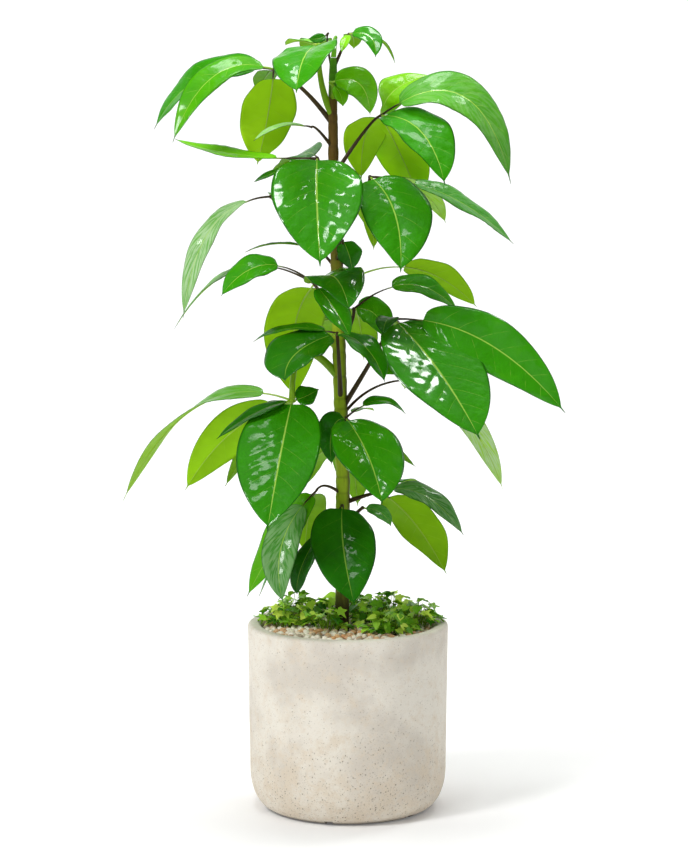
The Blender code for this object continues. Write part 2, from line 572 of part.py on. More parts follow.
def build_leaf(name, entry, parts, clearance):
    """A hand-shaped leaf: its stalk from the stem, and leaflets that meet at its end."""
    height, halfway, hub, leaflets = entry
    start = stem_point(height)
    steps = len(STALK_SHAPE) - 1
    line = [along(start, halfway, hub, i / steps) for i in range(steps + 1)]
    slim = SHORT_STALK_SHARE if (Vector(hub) - start).length < SHORT_STALK else 1.0
    leaf = tube(name, line, [STALK_RADIUS * slim * share for share in STALK_SHAPE], parts, 1)
    combine(leaf, [leaflet_body(hub, leaflet, parts) for leaflet in leaflets], "UNION")
    cut = leaf.modifiers.new("stem_clearance", "BOOLEAN")
    cut.operation = "DIFFERENCE"
    cut.object = clearance
    cut.solver = "EXACT"
    apply_modifiers(leaf)
    finish(leaf, material(name + "_green", LEAF_GREEN, 0.35))


def cover_leaf(crown, base, ahead, across, size, collection):
    """A small three-lobed leaf on a flat stalk that runs from the spray's crown to the leaf's base."""
    half = SPRAY_STALK_WIDTH / 2
    shape = bmesh.new()
    start = [shape.verts.new(crown + across * half * side) for side in (-1, 1)]
    root = [shape.verts.new(base + across * half * side) for side in (-1, 1)]
    lobes = [shape.verts.new(base + (ahead * out + across * side) * size) for out, side in COVER_OUTLINE]
    shape.faces.new((start[0], start[1], root[1], root[0]))
    shape.faces.new([root[0], root[1]] + lobes[::-1])
    bmesh.ops.triangulate(shape, faces=shape.faces)
    bmesh.ops.recalc_face_normals(shape, faces=shape.faces)
    leaf = mesh_object("cover_leaf", shape, collection)
    thicken(leaf, SPRAY_THICKNESS)
    return leaf


def build_spray(name, entry, number, parts):
    """A tuft of creeping ground cover: a short stem from the soil, and small lobed leaves round it."""
    (x, y), reach, count = entry
    chance = random.Random(100 + number)
    ends = [Vector((x, y, SPRAY_FOOT)), Vector((x, y, SPRAY_LOW))]
    spray = tube(name, ends, [SPRAY_STEM_RADIUS] * 2, parts)
    leaves = []
    for i in range(count):
        angle = i * GOLDEN_ANGLE + number
        out = reach * math.sqrt((i + 0.8) / count)
        radial = Vector((math.cos(angle), math.sin(angle), 0.0))
        rise = SPRAY_LOW + (SPRAY_HIGH - SPRAY_LOW) * ((i * GOLDEN_SHARE + 0.2) % 1.0)
        base = Vector((x, y, rise)) + radial * (out - SPRAY_LEAF)
        crown = Vector((x, y, SPRAY_LOW - SPRAY_CROWN * chance.uniform(1 / 3, 1)))
        lean = math.radians(chance.uniform(-COVER_LEAN, COVER_LEAN))
        ahead = radial * math.cos(lean) + Vector((0.0, 0.0, 1.0)) * math.sin(lean)
        across = radial.cross(Vector((0.0, 0.0, 1.0)))
        size = SPRAY_LEAF * chance.uniform(*COVER_SIZES)
        leaves.append(cover_leaf(crown, base, ahead, across, size, parts))
    combine(spray, leaves, "UNION")
    finish(spray, material(name + "_green", COVER_GREEN, 0.5))


def main():
    clear_scene()
    parts = make_collection("potted_plant")
    cutters = make_collection("cutters")
    build_pot(parts)
    build_filling(parts)
    clearance = build_stem(parts, cutters)
    for name, entry in LEAVES.items():
        build_leaf(name, entry, parts, clearance)
    for number, (name, entry) in enumerate(SPRAYS.items()):
        build_spray(name, entry, number, parts)


main()
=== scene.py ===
"""An upright potted plant with large glossy hand-shaped leaves, in a round concrete pot with pebbles and
ground cover.

Metres, +Z up, the ground at 0 under the middle of the pot, and -Y towards the viewer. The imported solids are
the frame, and each piece made here dresses one of them.
"""

import math
import random

import bpy
import numpy as np
from bpy.props import FloatProperty, FloatVectorProperty, IntProperty, PointerProperty
from mathutils import Matrix, Vector


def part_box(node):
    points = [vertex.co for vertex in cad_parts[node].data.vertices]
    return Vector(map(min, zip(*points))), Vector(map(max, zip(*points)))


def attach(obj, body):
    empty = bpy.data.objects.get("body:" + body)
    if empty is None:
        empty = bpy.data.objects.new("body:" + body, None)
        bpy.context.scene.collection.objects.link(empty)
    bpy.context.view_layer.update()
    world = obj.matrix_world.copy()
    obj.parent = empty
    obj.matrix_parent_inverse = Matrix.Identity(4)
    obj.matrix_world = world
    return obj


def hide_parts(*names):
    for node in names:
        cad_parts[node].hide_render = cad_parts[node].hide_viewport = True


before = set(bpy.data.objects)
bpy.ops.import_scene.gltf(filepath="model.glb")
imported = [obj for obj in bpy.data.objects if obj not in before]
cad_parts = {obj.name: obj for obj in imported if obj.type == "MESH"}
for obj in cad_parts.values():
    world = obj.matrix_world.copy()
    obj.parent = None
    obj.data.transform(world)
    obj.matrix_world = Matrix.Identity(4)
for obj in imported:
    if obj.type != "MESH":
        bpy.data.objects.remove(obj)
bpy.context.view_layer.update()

bl_info = {
    "name": "Potted Foliage Plant",
    "version": (1, 0, 0),
    "blender": (4, 5, 0),
    "location": "3D Viewport > Sidebar > Plant",
    "description": "Makes a potted plant with hand-shaped leaves, pebbles and ground cover",
    "category": "Object",
}

# The view: the camera's place and aim, and the lens for a sensor as high as the picture
CAMERA_PLACE = (-0.0055, -4.0, 1.05)
CAMERA_AIM = (-0.0055, 0.0, 0.533)
SENSOR_HEIGHT = 36.0
LENS = 121.56

# Middle of the stem from the soil up, and of the slim folded shoot on top of it
STEM_LINE = [
    (-0.008, 0.0, 0.120), (-0.008, 0.0, 0.300), (-0.007, 0.0, 0.460), (-0.011, 0.0, 0.600),
    (-0.015, 0.0, 0.750), (-0.020, 0.0, 0.900), (-0.021, 0.0, 1.000), (-0.020, 0.0, 1.046),
]
SHOOT_LINE = [
    (-0.0200, 0.0, 1.0464), (-0.0196, 0.0, 1.0530), (-0.0188, 0.0, 1.0640), (-0.0160, 0.0, 1.0760),
]

# One entry for each hand-shaped leaf: the height at which its stalk leaves the stem, a point that the stalk
# passes halfway, the point where its leaflets meet, and its leaflets. A leaflet has its tip, a point that its
# midrib passes halfway, its width, how far it is turned about its midrib in degrees, or for a twisted one how
# far at its foot and at its tip, the share of its length that is bare stalk, and its tone from 0, old and
# dark, to 100, young and yellow-green. This table alone is in millimetres, and its shares are in percent.
LEAVES = {
    "leaf_top_left": (955, (-62, 8, 1003), (-102, 20, 1030), [
        ((-272, 95, 946), (-203, 61, 1018), 64, -42, 10, 46),
        ((-238, -47, 931), (-182, -16, 1021), 46, -32, 8, 55),
        ((-128, 108, 896), (-112, 61, 964), 80, 0, 10, 92),
        ((-126, 135, 996), (-114, 81, 1021), 34, 0, 20, 15),
    ]),
    "leaf_crown_left": (968, (-36, 0, 1010), (-40, 3, 1062), [
        ((-69, -115, 999), (-59, -61, 1046), 90, 12, 6, 55),
        ((-87, 54, 1063), (-64, 27, 1069), 34, 0, 15, 80),
        ((-46, 128, 1029), (-45, 68, 1066), 46, 0, 15, 50),
    ]),
    "leaf_crown_right": (1030, (-8, 0, 1058), (1, 0, 1078), [
        ((37, -34, 1046), (30, -16, 1074), 28, 30, 6, 45),
        ((-9, -30, 1053), (-4, -16, 1068), 14, 0, 10, 95),
        ((65, 34, 1038), (40, 16, 1073), 20, 12, 15, 60),
        ((8, 50, 1058), (7, 26, 1074), 26, 0, 15, 50),
    ]),
    "leaf_crown_front": (990, (-20, -18, 1004), (-24, -18, 1012), [
        ((30, -41, 967), (15, -30, 1011), 44, 55, 6, 70),
        ((-7, -27, 980), (-12, -24, 999), 22, 40, 20, 80),
    ]),
    "leaf_crown_small": (1024, (-28, 16, 1062), (-27, 16, 1079), [
        ((-54, 10, 1072), (-40, 13, 1072), 15, -60, 16, 20),
    ]),
    "leaf_upper_right": (885, (22, 4, 945), (45, 7, 967), [
        ((223, -14, 874), (156, -4, 994), 74, 38, 10, 54),
        ((130, -95, 876), (99, -47, 946), 82, 12, 5, 46),
        ((120, 101, 1021), (67, 51, 1003), 44, 40, 6, 100),
        ((106, 121, 840), (69, 81, 922), 94, 0, 10, 90),
        ((19, 108, 875), (24, 61, 938), 60, 0, 12, 85),
    ]),
    "leaf_sliver": (922, (-40, -14, 947), (-50, -16, 952), [
        ((-128, -54, 934), (-91, -35, 954), 20, -8, 12, 70),
    ]),
    "leaf_big_front": (855, (-33, -22, 889), (-42, -27, 910), [
        ((-37, -162, 771), (-42, -95, 858), 124, 0, 4, 45),
        ((-111, 101, 882), (-65, 61, 912), 52, -22, 12, 30),
        ((-238, 14, 935), (-158, 0, 915), 36, -16, 22, 75),
        ((-129, -14, 877), (-96, -22, 892), 22, -20, 30, 15),
    ]),
    "leaf_front_right": (790, (18, -11, 851), (30, -11, 884), [
        ((70, -128, 761), (63, -70, 837), 98, 5, 5, 42),
        ((231, 47, 788), (137, 20, 857), 46, 32, 28, 45),
        ((139, 121, 813), (96, 68, 865), 38, -12, 20, 75),
        ((36, 54, 778), (34, 30, 843), 36, 0, 10, 60),
    ]),
    "leaf_left_arch": (800, (-70, -5, 842), (-106, -11, 857), [
        ((-226, -34, 691), (-187, -24, 814), 36, (0, -65), 18, 60),
        ((-68, 115, 788), (-83, 57, 847), 50, 0, 12, 45),
    ]),
    "leaf_left_thin": (755, (-35, 5, 778), (-50, 8, 786), [
        ((-143, 27, 778), (-98, 19, 791), 22, 0, 20, 15),
    ]),
    "leaf_stem_front": (768, (-9, -30, 787), (-7, -30, 798), [
        ((5, -35, 758), (1, -34, 779), 42, 30, 5, 25),
    ]),
    "leaf_middle_left": (695, (-32, -19, 718), (-46, -24, 738), [
        ((-242, 34, 671), (-152, 8, 756), 30, -16, 35, 55),
        ((-173, -61, 724), (-114, -41, 765), 46, -36, 36, 50),
        ((-74, 81, 566), (-75, 47, 670), 86, 0, 6, 85),
        ((2, -142, 710), (-18, -81, 751), 78, 8, 4, 25),
        ((3, -81, 670), (-20, -51, 708), 42, 10, 10, 40),
    ]),
    "leaf_right_pale": (715, (6, 8, 734), (12, 8, 746), [
        ((182, 81, 697), (99, 46, 753), 46, -45, 38, 65),
    ]),
    "leaf_middle_back": (655, (4, -3, 682), (8, -5, 702), [
        ((153, 14, 697), (84, 3, 735), 44, 35, 34, 50),
        ((50, -16, 662), (37, -11, 695), 48, 42, 5, 55),
        ((23, 121, 617), (16, 68, 679), 50, 0, 12, 45),
    ]),
    "leaf_middle_front": (575, (-12, -30, 623), (-15, -35, 671), [
        ((-85, -101, 612), (-70, -68, 647), 90, -8, 6, 25),
        ((-131, 0, 656), (-80, -16, 676), 36, -12, 12, 20),
        ((50, -84, 609), (24, -61, 654), 60, 0, 6, 38),
    ]),
    "leaf_right_long": (560, (38, -19, 642), (63, -27, 690), [
        ((296, -81, 566), (184, -54, 663), 77, 60, 16, 45),
        ((176, -162, 541), (123, -97, 625), 136, 12, 5, 45),
        ((47, -95, 675), (53, -61, 692), 30, 0, 10, 10),
        ((129, 108, 603), (99, 54, 655), 58, 0, 12, 35),
    ]),
    "leaf_right_back": (550, (40, 5, 593), (107, 27, 599), [
        ((221, 95, 435), (174, 61, 532), 36, -40, 10, 75),
        ((50, 7, 654), (75, 18, 637), 28, -8, 22, 55),
        ((50, -10, 611), (77, 4, 619), 30, -38, 18, 55),
        ((80, 81, 581), (93, 57, 600), 34, 0, 20, 40),
    ]),
    "leaf_lower_front": (492, (-3, -27, 528), (-3, -35, 554), [
        ((46, -162, 453), (27, -97, 510), 98, 0, 4, 42),
        ((-22, -54, 490), (-22, -49, 539), 40, -35, 5, 18),
        ((80, -16, 557), (42, -24, 577), 28, 18, 25, 40),
        ((37, 34, 556), (16, 3, 562), 18, 0, 25, 80),
        ((96, 74, 471), (48, 30, 510), 32, 0, 12, 25),
    ]),
    "leaf_lower_left": (605, (-61, -12, 641), (-77, -41, 579), [
        ((-108, -176, 419), (-92, -111, 510), 116, 0, 4, 38),
        ((-40, -32, 594), (-58, -35, 584), 36, 40, 15, 35),
        ((-180, -68, 529), (-128, -57, 563), 34, -12, 8, 15),
        ((-228, 20, 445), (-160, -7, 532), 64, 60, 15, 60),
        ((-314, 0, 432), (-208, -14, 568), 38, (-60, 48), 14, 70),
        ((-176, 95, 438), (-123, 41, 523), 44, 0, 12, 25),
        ((-126, 128, 495), (-105, 54, 553), 52, 0, 12, 40),
    ]),
    "leaf_bottom_left": (442, (-30, -16, 457), (-44, -22, 451), [
        ((-140, -47, 306), (-91, -38, 392), 58, -30, 6, 70),
        ((-125, 7, 296), (-86, -5, 379), 40, -20, 15, 45),
        ((-88, -108, 309), (-90, -70, 386), 50, -15, 15, 35),
        ((-62, 115, 340), (-55, 61, 408), 50, 0, 12, 45),
    ]),
    "leaf_bottom_front": (370, (-8, -30, 403), (-8, -35, 432), [
        ((9, -142, 312), (-6, -89, 379), 90, 0, 4, 13),
        ((-70, -68, 313), (-57, -57, 366), 38, -15, 30, 10),
    ]),
    "leaf_bottom_right": (430, (22, -5, 441), (46, -5, 447), [
        ((160, -47, 392), (105, -24, 445), 42, 22, 15, 30),
        ((140, 61, 319), (93, 34, 398), 76, -25, 12, 44),
        ((115, 115, 410), (81, 61, 453), 38, 0, 15, 55),
    ]),
    "leaf_small_right": (396, (12, -35, 422), (20, -41, 430), [
        ((59, -51, 406), (45, -46, 424), 24, 34, 8, 35),
    ]),
    "leaf_back_upper": (820, (-14, 41, 848), (-12, 78, 864), [
        ((-69, 189, 783), (-41, 135, 848), 44, 0, 16, 50),
        ((-17, 236, 780), (-14, 162, 847), 50, 0, 12, 45),
        ((44, 203, 782), (17, 143, 845), 46, 0, 16, 50),
        ((83, 130, 807), (37, 105, 853), 44, 0, 16, 55),
    ]),
    "leaf_back_middle": (640, (-12, 38, 664), (-12, 70, 682), [
        ((-81, 146, 620), (-47, 111, 668), 48, 0, 14, 40),
        ((-19, 209, 619), (-15, 142, 670), 52, 0, 12, 35),
        ((38, 167, 615), (13, 119, 669), 48, 0, 14, 40),
    ]),
    "leaf_back_lower": (465, (-8, 41, 489), (-6, 74, 505), [
        ((-79, 189, 406), (-45, 132, 477), 58, 0, 12, 30),
        ((15, 223, 390), (6, 151, 471), 62, 0, 12, 25),
        ((52, 159, 416), (25, 119, 480), 52, 0, 12, 30),
    ]),
}

# The pot: its sides, how far its wall leans out from the rounded foot to the rim and the steps of that slope,
# the bevel round its floor inside, and the width and height of the swells in its walls. Its drainage notches
# are evenly spaced round the foot, from one at the front, a little to the left.
POT_SIDES = 144
WALL_LEAN = 0.0025
WALL_STEPS = 8
FLOOR_BEVEL = 0.004
SWELL_WIDTH = 0.05
SWELL_HEIGHT = 0.0009
NOTCH_COUNT = 6
NOTCH_FIRST_ANGLE = math.radians(-103)
NOTCH_LENGTH = 0.090

# Pebbles: the rise of each layer over the bed's foot, the spacing of its stones as a share of their length,
# and how far it keeps inside the layer below. Then the room from the outer ring to the bed's edge, the bare
# room round the stem's middle, the number of different stones, that of the worn faces on each, and the most
# that one tilts, in radians.
PEBBLE_LAYERS = ((0.0032, 0.98, 0.0), (0.0070, 1.12, 0.003))
PEBBLE_EDGE = 0.0052
STEM_ROOM = 0.0145
STONE_MODELS = 5
WORN_FACES = 6
STONE_TILT = 0.6

# The stem: the steps that it is made of, the height up to which it is equally thick, how far each joint lies
# below its leaf's stalk and how far a scar lies above the joint, and the spacing of the rings that older
# leaves left. A span is about half the height of such a mark. Then come the slope at the top, the share of
# the radius that is left there, and the radii of the growing tip and its sheath.
STEM_STEPS = 330
EVEN_UP_TO = 0.30
JOINT_BELOW = 0.004
JOINT_SPAN = 0.006
SCAR_ABOVE = 0.007
SCAR_SPAN = 0.0016
RING_SPACING = 0.021
RING_SPAN = 0.0022
TOP_SLOPE = 0.001
TOP_SHARE = 0.72
SHOOT_RADIUS = 0.0029
SHEATH_RADIUS = 0.0016

# Leaf stalks: the length below which one is short, the share of the usual radius that a short one has, the
# tones of green and of brown ones, and the steps that they and the midribs are made of
SHORT_STALK = 0.05
SLIM_STALK = 0.65
GREEN_TONE = 1.2
BROWN_TONE = 0.2
STALK_STEPS = 16
MIDRIB_STEPS = 26

# Blades: the spacing of their points along and across, how these crowd towards the middle, how far the side
# veins slant ahead and how they bend, and how far those on one side are ahead of the other's, as a share of
# the way from one vein to the next
ROW_SPACING = 0.0026
COLUMN_SPACING = 0.0042
CROWDING = 1.15
VEIN_SLANT = 0.88
VEIN_BEND = 1.12
VEIN_SHIFT = 0.37

# Seeds of the random draws for the pebbles, for the first leaf and for the first spray. The next leaf or
# spray has the next number.
PEBBLE_SEED = 11
LEAF_SEED = 40
COVER_SEED = 70

# Leaves with a green stalk, leaves with a stouter or slimmer stalk than most, leaflets with a pale streaky
# bloom that is partly a painted sheen, and leaflets that are glossier or duller than the others
GREEN_STALKS = ("leaf_lower_left", "leaf_right_pale", "leaf_crown_left", "leaf_crown_front")
STOUTNESS = {"leaf_lower_left": 1.6, "leaf_crown_left": 1.5, "leaf_crown_front": 1.5, "leaf_upper_right": 0.8,
             "leaf_right_back": 0.6, "leaf_crown_right": 0.7, "leaf_crown_small": 0.5}
BLOOM_AND_SHEEN = {("leaf_left_arch", 0): 0.75, ("leaf_right_back", 0): 0.85, ("leaf_bottom_left", 2): 0.35,
         ("leaf_bottom_right", 0): 0.30, ("leaf_lower_left", 4): 0.25, ("leaf_sliver", 0): 0.60,
         ("leaf_middle_left", 0): 0.45, ("leaf_front_right", 2): 0.35, ("leaf_small_right", 0): 0.15,
         ("leaf_upper_right", 0): 0.14, ("leaf_front_right", 1): 0.14}
GLOSS = {("leaf_big_front", 0): 1.0, ("leaf_right_long", 1): 0.95, ("leaf_right_long", 0): 0.45,
         ("leaf_lower_front", 0): 0.85, ("leaf_lower_left", 0): 0.28, ("leaf_crown_left", 0): 0.55,
         ("leaf_upper_right", 1): 0.15, ("leaf_front_right", 0): 0.30, ("leaf_middle_left", 3): 0.80,
         ("leaf_middle_left", 4): 0.80, ("leaf_crown_right", 0): 0.60, ("leaf_crown_front", 0): 0.60,
         ("leaf_middle_front", 0): 0.40, ("leaf_bottom_front", 0): 0.18, ("leaf_lower_left", 4): 0.60}
USUAL_GLOSS = 0.25

# Ground cover: the place where each spray comes out of the soil, its reach, and its number of leaves
SPRAYS = {
    "ground_cover_left": ((-0.088, -0.004), 0.034, 52),
    "ground_cover_back_left": ((-0.070, 0.062), 0.036, 60),
    "ground_cover_back": ((-0.004, 0.090), 0.036, 60),
    "ground_cover_back_right": ((0.062, 0.070), 0.036, 60),
    "ground_cover_right": ((0.096, 0.002), 0.036, 60),
    "ground_cover_middle": ((0.036, 0.020), 0.034, 54),
    "ground_cover_front_right": ((0.058, -0.048), 0.032, 44),
    "ground_cover_front": ((-0.030, -0.036), 0.032, 40),
}
GOLDEN_ANGLE = 2.39996        # from one leaf of a spray to the next, as seeds in a sunflower

# Outlines of ground-cover leaves: the reach from the leaf's middle at even turns, from its tip to its base
COVER_REACHES = [
    (1.00, 0.50, 0.84, 0.44, 0.62, 0.44, 0.22),
    (1.00, 0.56, 0.80, 0.46, 0.50, 0.46, 0.26),
    (0.94, 0.62, 0.60, 0.52, 0.44, 0.24),
]

# Ground cover: the heights of its stalks' feet, of its highest leaves, of its leaves of a middle tone and of
# its lowest leaves, how much lower it is at a spray's edge, how far some leaves lie below others, and the
# radius of its stalks
COVER_FOOT = 0.252
COVER_TOP = 0.294
COVER_MIDDLE = 0.275
COVER_LOWEST = 0.263
COVER_FALL = 0.014
COVER_DEPTH = 0.030
COVER_STALK = 0.00045

# Ground cover farther from the middle than the pot's edge lies no lower than the rim, and in front of the
# front edge there is none
POT_EDGE = 0.112
OVER_RIM = 0.269
FRONT_EDGE = ((-0.060, -0.010), (-0.010, -0.028), (0.030, -0.062), (0.120, -0.058))

# The studio: its round floor, the wall round it and the bend between them, the light from all sides, and its
# lamps, each with its place, its aim, its width and its power
FLOOR_RADIUS = 7
WALL_HEIGHT = 6
SWEEP_BEND = 3.0
AMBIENT_LIGHT = 0.06
PLANT_MIDDLE = (0, 0, 0.6)
LAMPS = {
    "key": ((-2.2, -1.9, 2.8), PLANT_MIDDLE, 0.8, 66),
    "fill": ((2.8, -2.4, 1.6), PLANT_MIDDLE, 2.0, 4),
    "top": ((-0.12, 0.25, 3.1), PLANT_MIDDLE, 0.95, 44),
    "top_right": ((1.18, 0.95, 3.0), PLANT_MIDDLE, 0.62, 18),
    "top_front": ((-0.35, -1.0, 3.0), PLANT_MIDDLE, 0.5, 10),
    "backdrop": ((0, 2.6, 3.6), (0, 7, 1.0), 3.0, 130),
}


def srgb(red, green, blue):
    """A colour given as on a screen, from 0 to 255, in the linear values that shaders take."""
    def linear(value):
        value = value / 255
        return value / 12.92 if value <= 0.04045 else ((value + 0.055) / 1.055) ** 2.4
    return linear(red), linear(green), linear(blue)


def length(name, default, description):
    return FloatProperty(name=name, description=description, default=default, min=0.0, unit="LENGTH",
                         precision=5)


def colour(name, shade, description):
    return FloatVectorProperty(name=name, description=description, default=srgb(*shade), subtype="COLOR",
                               size=3, min=0.0, max=1.0)


class PlantSizes(bpy.types.PropertyGroup):
    pot_wall: length("Pot wall", 0.018, "Thickness of the pot's wall")
    pot_floor: length("Pot floor", 0.030, "Height of the floor inside the pot")
    foot_radius: length("Foot radius", 0.105, "Radius at which the rounded foot meets the ground")
    foot_round: length("Foot rounding", 0.055, "Height over which the foot is rounded")
    rim_round: length("Rim rounding", 0.005, "Radius of the rim's edges")
    notch_width: length("Notch width", 0.011, "Width of a drainage notch")
    notch_height: length("Notch height", 0.0045, "Height of a drainage notch")
    pebble: length("Pebble", 0.0112, "Usual length of a pebble")
    stem_radius: length("Stem radius", 0.0095, "Radius of the stem's lower part")
    stem_top: length("Stem top", 0.0050, "Radius of the stem's green top")
    stalk: length("Leaf stalk", 0.0021, "Radius of a leaf stalk")
    midrib: length("Midrib", 0.0012, "Radius of a leaflet's midrib at its base")
    blade: length("Blade", 0.0006, "Thickness of a leaflet's blade")
    vein_spacing: length("Vein spacing", 0.0270, "Distance between side veins along the midrib")
    vein_relief: length("Vein relief", 0.00055, "How far a blade bulges between its side veins")
    margin_wave: length("Margin wave", 0.0022, "How far a blade's margin waves up and down")
    ripple: length("Ripple", 0.00020, "Height of the small waves over a blade")
    cover_leaf: length("Cover leaf", 0.0138, "Reach of a ground-cover leaf from its middle")
    pebble_rings: IntProperty(name="Pebble rings", description="Rings of pebbles in a layer", default=13)


class PlantColours(bpy.types.PropertyGroup):
    concrete: colour("Concrete", (232, 226, 213), "The pot's cast concrete")
    concrete_warm: colour("Warm concrete", (218, 203, 180), "Stains and blotches in the concrete")
    concrete_grey: colour("Grey concrete", (209, 201, 188), "Greyer clouds in the concrete")
    pit: colour("Pit", (126, 108, 84), "Fine pits and grains in the concrete")
    # Painted shadow: the dark line where the pot meets the floor, and the shade in its notches
    painted_shadow: colour("Foot line", (84, 72, 60), "Dark line where the pot meets the floor")
    soil: colour("Soil", (52, 38, 28), "Moist potting soil")
    pebble_cream: colour("Cream pebble", (255, 248, 232), "The lightest pebbles")
    pebble_tan: colour("Tan pebble", (232, 200, 160), "Tan pebbles")
    pebble_orange: colour("Orange pebble", (222, 160, 104), "Orange-brown pebbles")
    pebble_grey: colour("Grey pebble", (178, 164, 144), "Grey-brown pebbles")
    bark: colour("Bark", (90, 68, 16), "The stem's upper part")
    # Dark bark is also the painted shade on the stem's right side, away from the light
    bark_dark: colour("Dark bark", (52, 34, 14), "The stem's foot, and scars and furrows")
    bark_olive: colour("Olive bark", (150, 174, 30), "The stem's middle part")
    green_stem: colour("Green stem", (76, 138, 14), "The stem's young top")
    stalk_green: colour("Green stalk", (118, 160, 22), "Young leaf stalks")
    stalk_brown: colour("Brown stalk", (58, 44, 18), "Older leaf stalks")
    leaf_dark: colour("Old leaf", (10, 74, 2), "The oldest leaves")
    leaf_mid: colour("Leaf", (52, 146, 2), "Most leaves")
    leaf_young: colour("Young leaf", (126, 202, 2), "The youngest leaves")
    under_dark: colour("Old underside", (84, 142, 12), "Undersides of old leaves")
    # Pale undersides of young leaves, brightened with painted light shining through them
    under_young_glow: colour("Young underside", (172, 230, 18), "Undersides of young leaves")
    # Pale bloom between the veins of some leaflets, partly a painted sheen
    bloom: colour("Bloom", (186, 214, 170), "Pale bloom between the veins of some leaflets")
    vein: colour("Vein", (186, 222, 92), "Midribs and veins")
    cover_dark: colour("Dark cover", (60, 134, 18), "Old ground-cover leaves")
    cover_mid: colour("Cover", (150, 216, 48), "Most ground-cover leaves")
    cover_bright: colour("Bright cover", (222, 250, 96), "Young ground-cover leaves")
    floor: colour("Floor", (250, 250, 250), "Studio floor and backdrop")


def deselect():
    bpy.ops.object.select_all(action="DESELECT")


def only(obj):
    """Selects one object and makes it the active one."""
    deselect()
    obj.select_set(True)
    bpy.context.view_layer.objects.active = obj


def edit(mode):
    """Edit mode on the active object, with all of it selected in this kind of element."""
    bpy.ops.object.mode_set(mode="EDIT")
    bpy.ops.mesh.select_mode(type=mode)
    bpy.ops.mesh.select_all(action="SELECT")


def leave_edit():
    bpy.ops.object.mode_set(mode="OBJECT")


def apply_modifiers(obj):
    only(obj)
    for modifier in list(obj.modifiers):
        bpy.ops.object.modifier_apply(modifier=modifier.name)


def join(pieces, name):
    """The pieces as one object."""
    deselect()
    for piece in pieces:
        piece.select_set(True)
    bpy.context.view_layer.objects.active = pieces[0]
    bpy.ops.object.join()
    pieces[0].name = name
    pieces[0].data.name = name
    return pieces[0]


def place(obj, matrix):
    """Moves a piece's mesh, so that its object stays at the origin."""
    obj.data.transform(matrix)
    obj.matrix_world = Matrix.Identity(4)


def apply_place(obj):
    only(obj)
    bpy.ops.object.transform_apply(location=True, rotation=True, scale=True)


def added(name):
    """The object that an operator has just added, under its name."""
    bpy.context.object.name = name
    return bpy.context.object


def thicken(obj, thickness, offset=-1.0, other_side=0):
    """Gives a sheet its thickness, and its other side the material that is so many further in its list."""
    solid = obj.modifiers.new("thickness", "SOLIDIFY")
    solid.thickness = thickness
    solid.offset = offset
    solid.material_offset = other_side
    apply_modifiers(obj)


def aim(obj, place, target):
    """Turns a lamp or the camera, which stands at this place, towards its target."""
    obj.rotation_euler = (Vector(target) - Vector(place)).to_track_quat("-Z", "Y").to_euler()


def duplicate(obj, name):
    """A copy with its own mesh."""
    copy = obj.copy()
    copy.data = obj.data.copy()
    copy.name = name
    bpy.context.scene.collection.objects.link(copy)
    return copy


def write(obj, name, values):
    """Gives every point of a mesh its own number under this name, for its material to read."""
    values = np.asarray(values, np.float32)
    obj.data.attributes.new(name, "FLOAT", "POINT").data.foreach_set("value", values)


def mark(obj, name, value):
    """Gives every point of a mesh the same number under this name."""
    write(obj, name, np.full(len(obj.data.vertices), value))


def dress(piece, slot, *nodes):
    """The piece rides on the plant and stands for its nodes, which it hides. The slot is not used."""
    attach(piece, "root")
    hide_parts(*nodes)


def metres(values):
    """The same measures and points in metres, where these are in millimetres."""
    return [tuple(metres(value)) if isinstance(value, tuple) else value / 1000 for value in values]


def shares(steps):
    """Evenly spaced shares from 0 to 1, both of them included."""
    return [i / steps for i in range(steps + 1)]


def hump(distance, span):
    """1 at no distance, and almost nothing from twice the span on."""
    return math.exp(-(distance / span) ** 2)


def arc(centre, across, up, first, last, steps):
    """Points on an elliptical arc, from the first angle to the last, in degrees."""
    made = []
    for i in range(steps + 1):
        angle = math.radians(first + (last - first) * i / steps)
        made.append((centre[0] + across * math.cos(angle), centre[1] + up * math.sin(angle)))
    return made


def turned(name, profile, sides):
    """A turned solid: a filled circle, extruded from each radius and height of the profile to the next."""
    deselect()
    radius, height = profile[0]
    bpy.ops.mesh.primitive_circle_add(vertices=sides, radius=radius, fill_type="NGON",
                                      location=(0, 0, height))
    obj = added(name)
    apply_place(obj)
    edit("FACE")
    for next_radius, next_height in profile[1:]:
        bpy.ops.mesh.extrude_region_move(TRANSFORM_OT_translate={"value": (0, 0, next_height - height)})
        grow = next_radius / radius
        bpy.ops.transform.resize(value=(grow, grow, 1), center_override=(0, 0, next_height))
        radius, height = next_radius, next_height
    bpy.ops.mesh.select_all(action="SELECT")
    bpy.ops.mesh.normals_make_consistent(inside=False)
    leave_edit()
    return obj


def tube(name, points, radii, resolution):
    """A round bar through the points: a bevelled curve made a mesh, with its caps welded on."""
    deselect()
    bpy.ops.object.add(type="CURVE")
    curve = added(name).data
    curve.dimensions = "3D"
    curve.bevel_depth = 1.0
    curve.bevel_resolution = resolution
    curve.use_fill_caps = True
    spline = curve.splines.new("POLY")
    spline.points.add(len(points) - 1)
    for knot, point, radius in zip(spline.points, points, radii):
        knot.co = (*point, 1.0)
        knot.radius = radius
    bpy.ops.object.convert(target="MESH")
    bar = bpy.context.object
    edit("VERT")
    bpy.ops.mesh.remove_doubles(threshold=1e-6)
    bpy.ops.mesh.normals_make_consistent(inside=False)
    leave_edit()
    bpy.ops.object.shade_smooth()
    return bar


def along(start, halfway, end, share):
    """A point on the arc from start to end that passes halfway, and on its way there."""
    bend = 2 * Vector(halfway) - (Vector(start) + Vector(end)) / 2
    left = 1 - share
    return left * left * Vector(start) + 2 * left * share * bend + share * share * Vector(end)


def smooth(value, low, high):
    """0 below low, 1 above high, and a smooth way between them."""
    share = np.clip((value - low) / (high - low), 0.0, 1.0)
    return share * share * (3 - 2 * share)


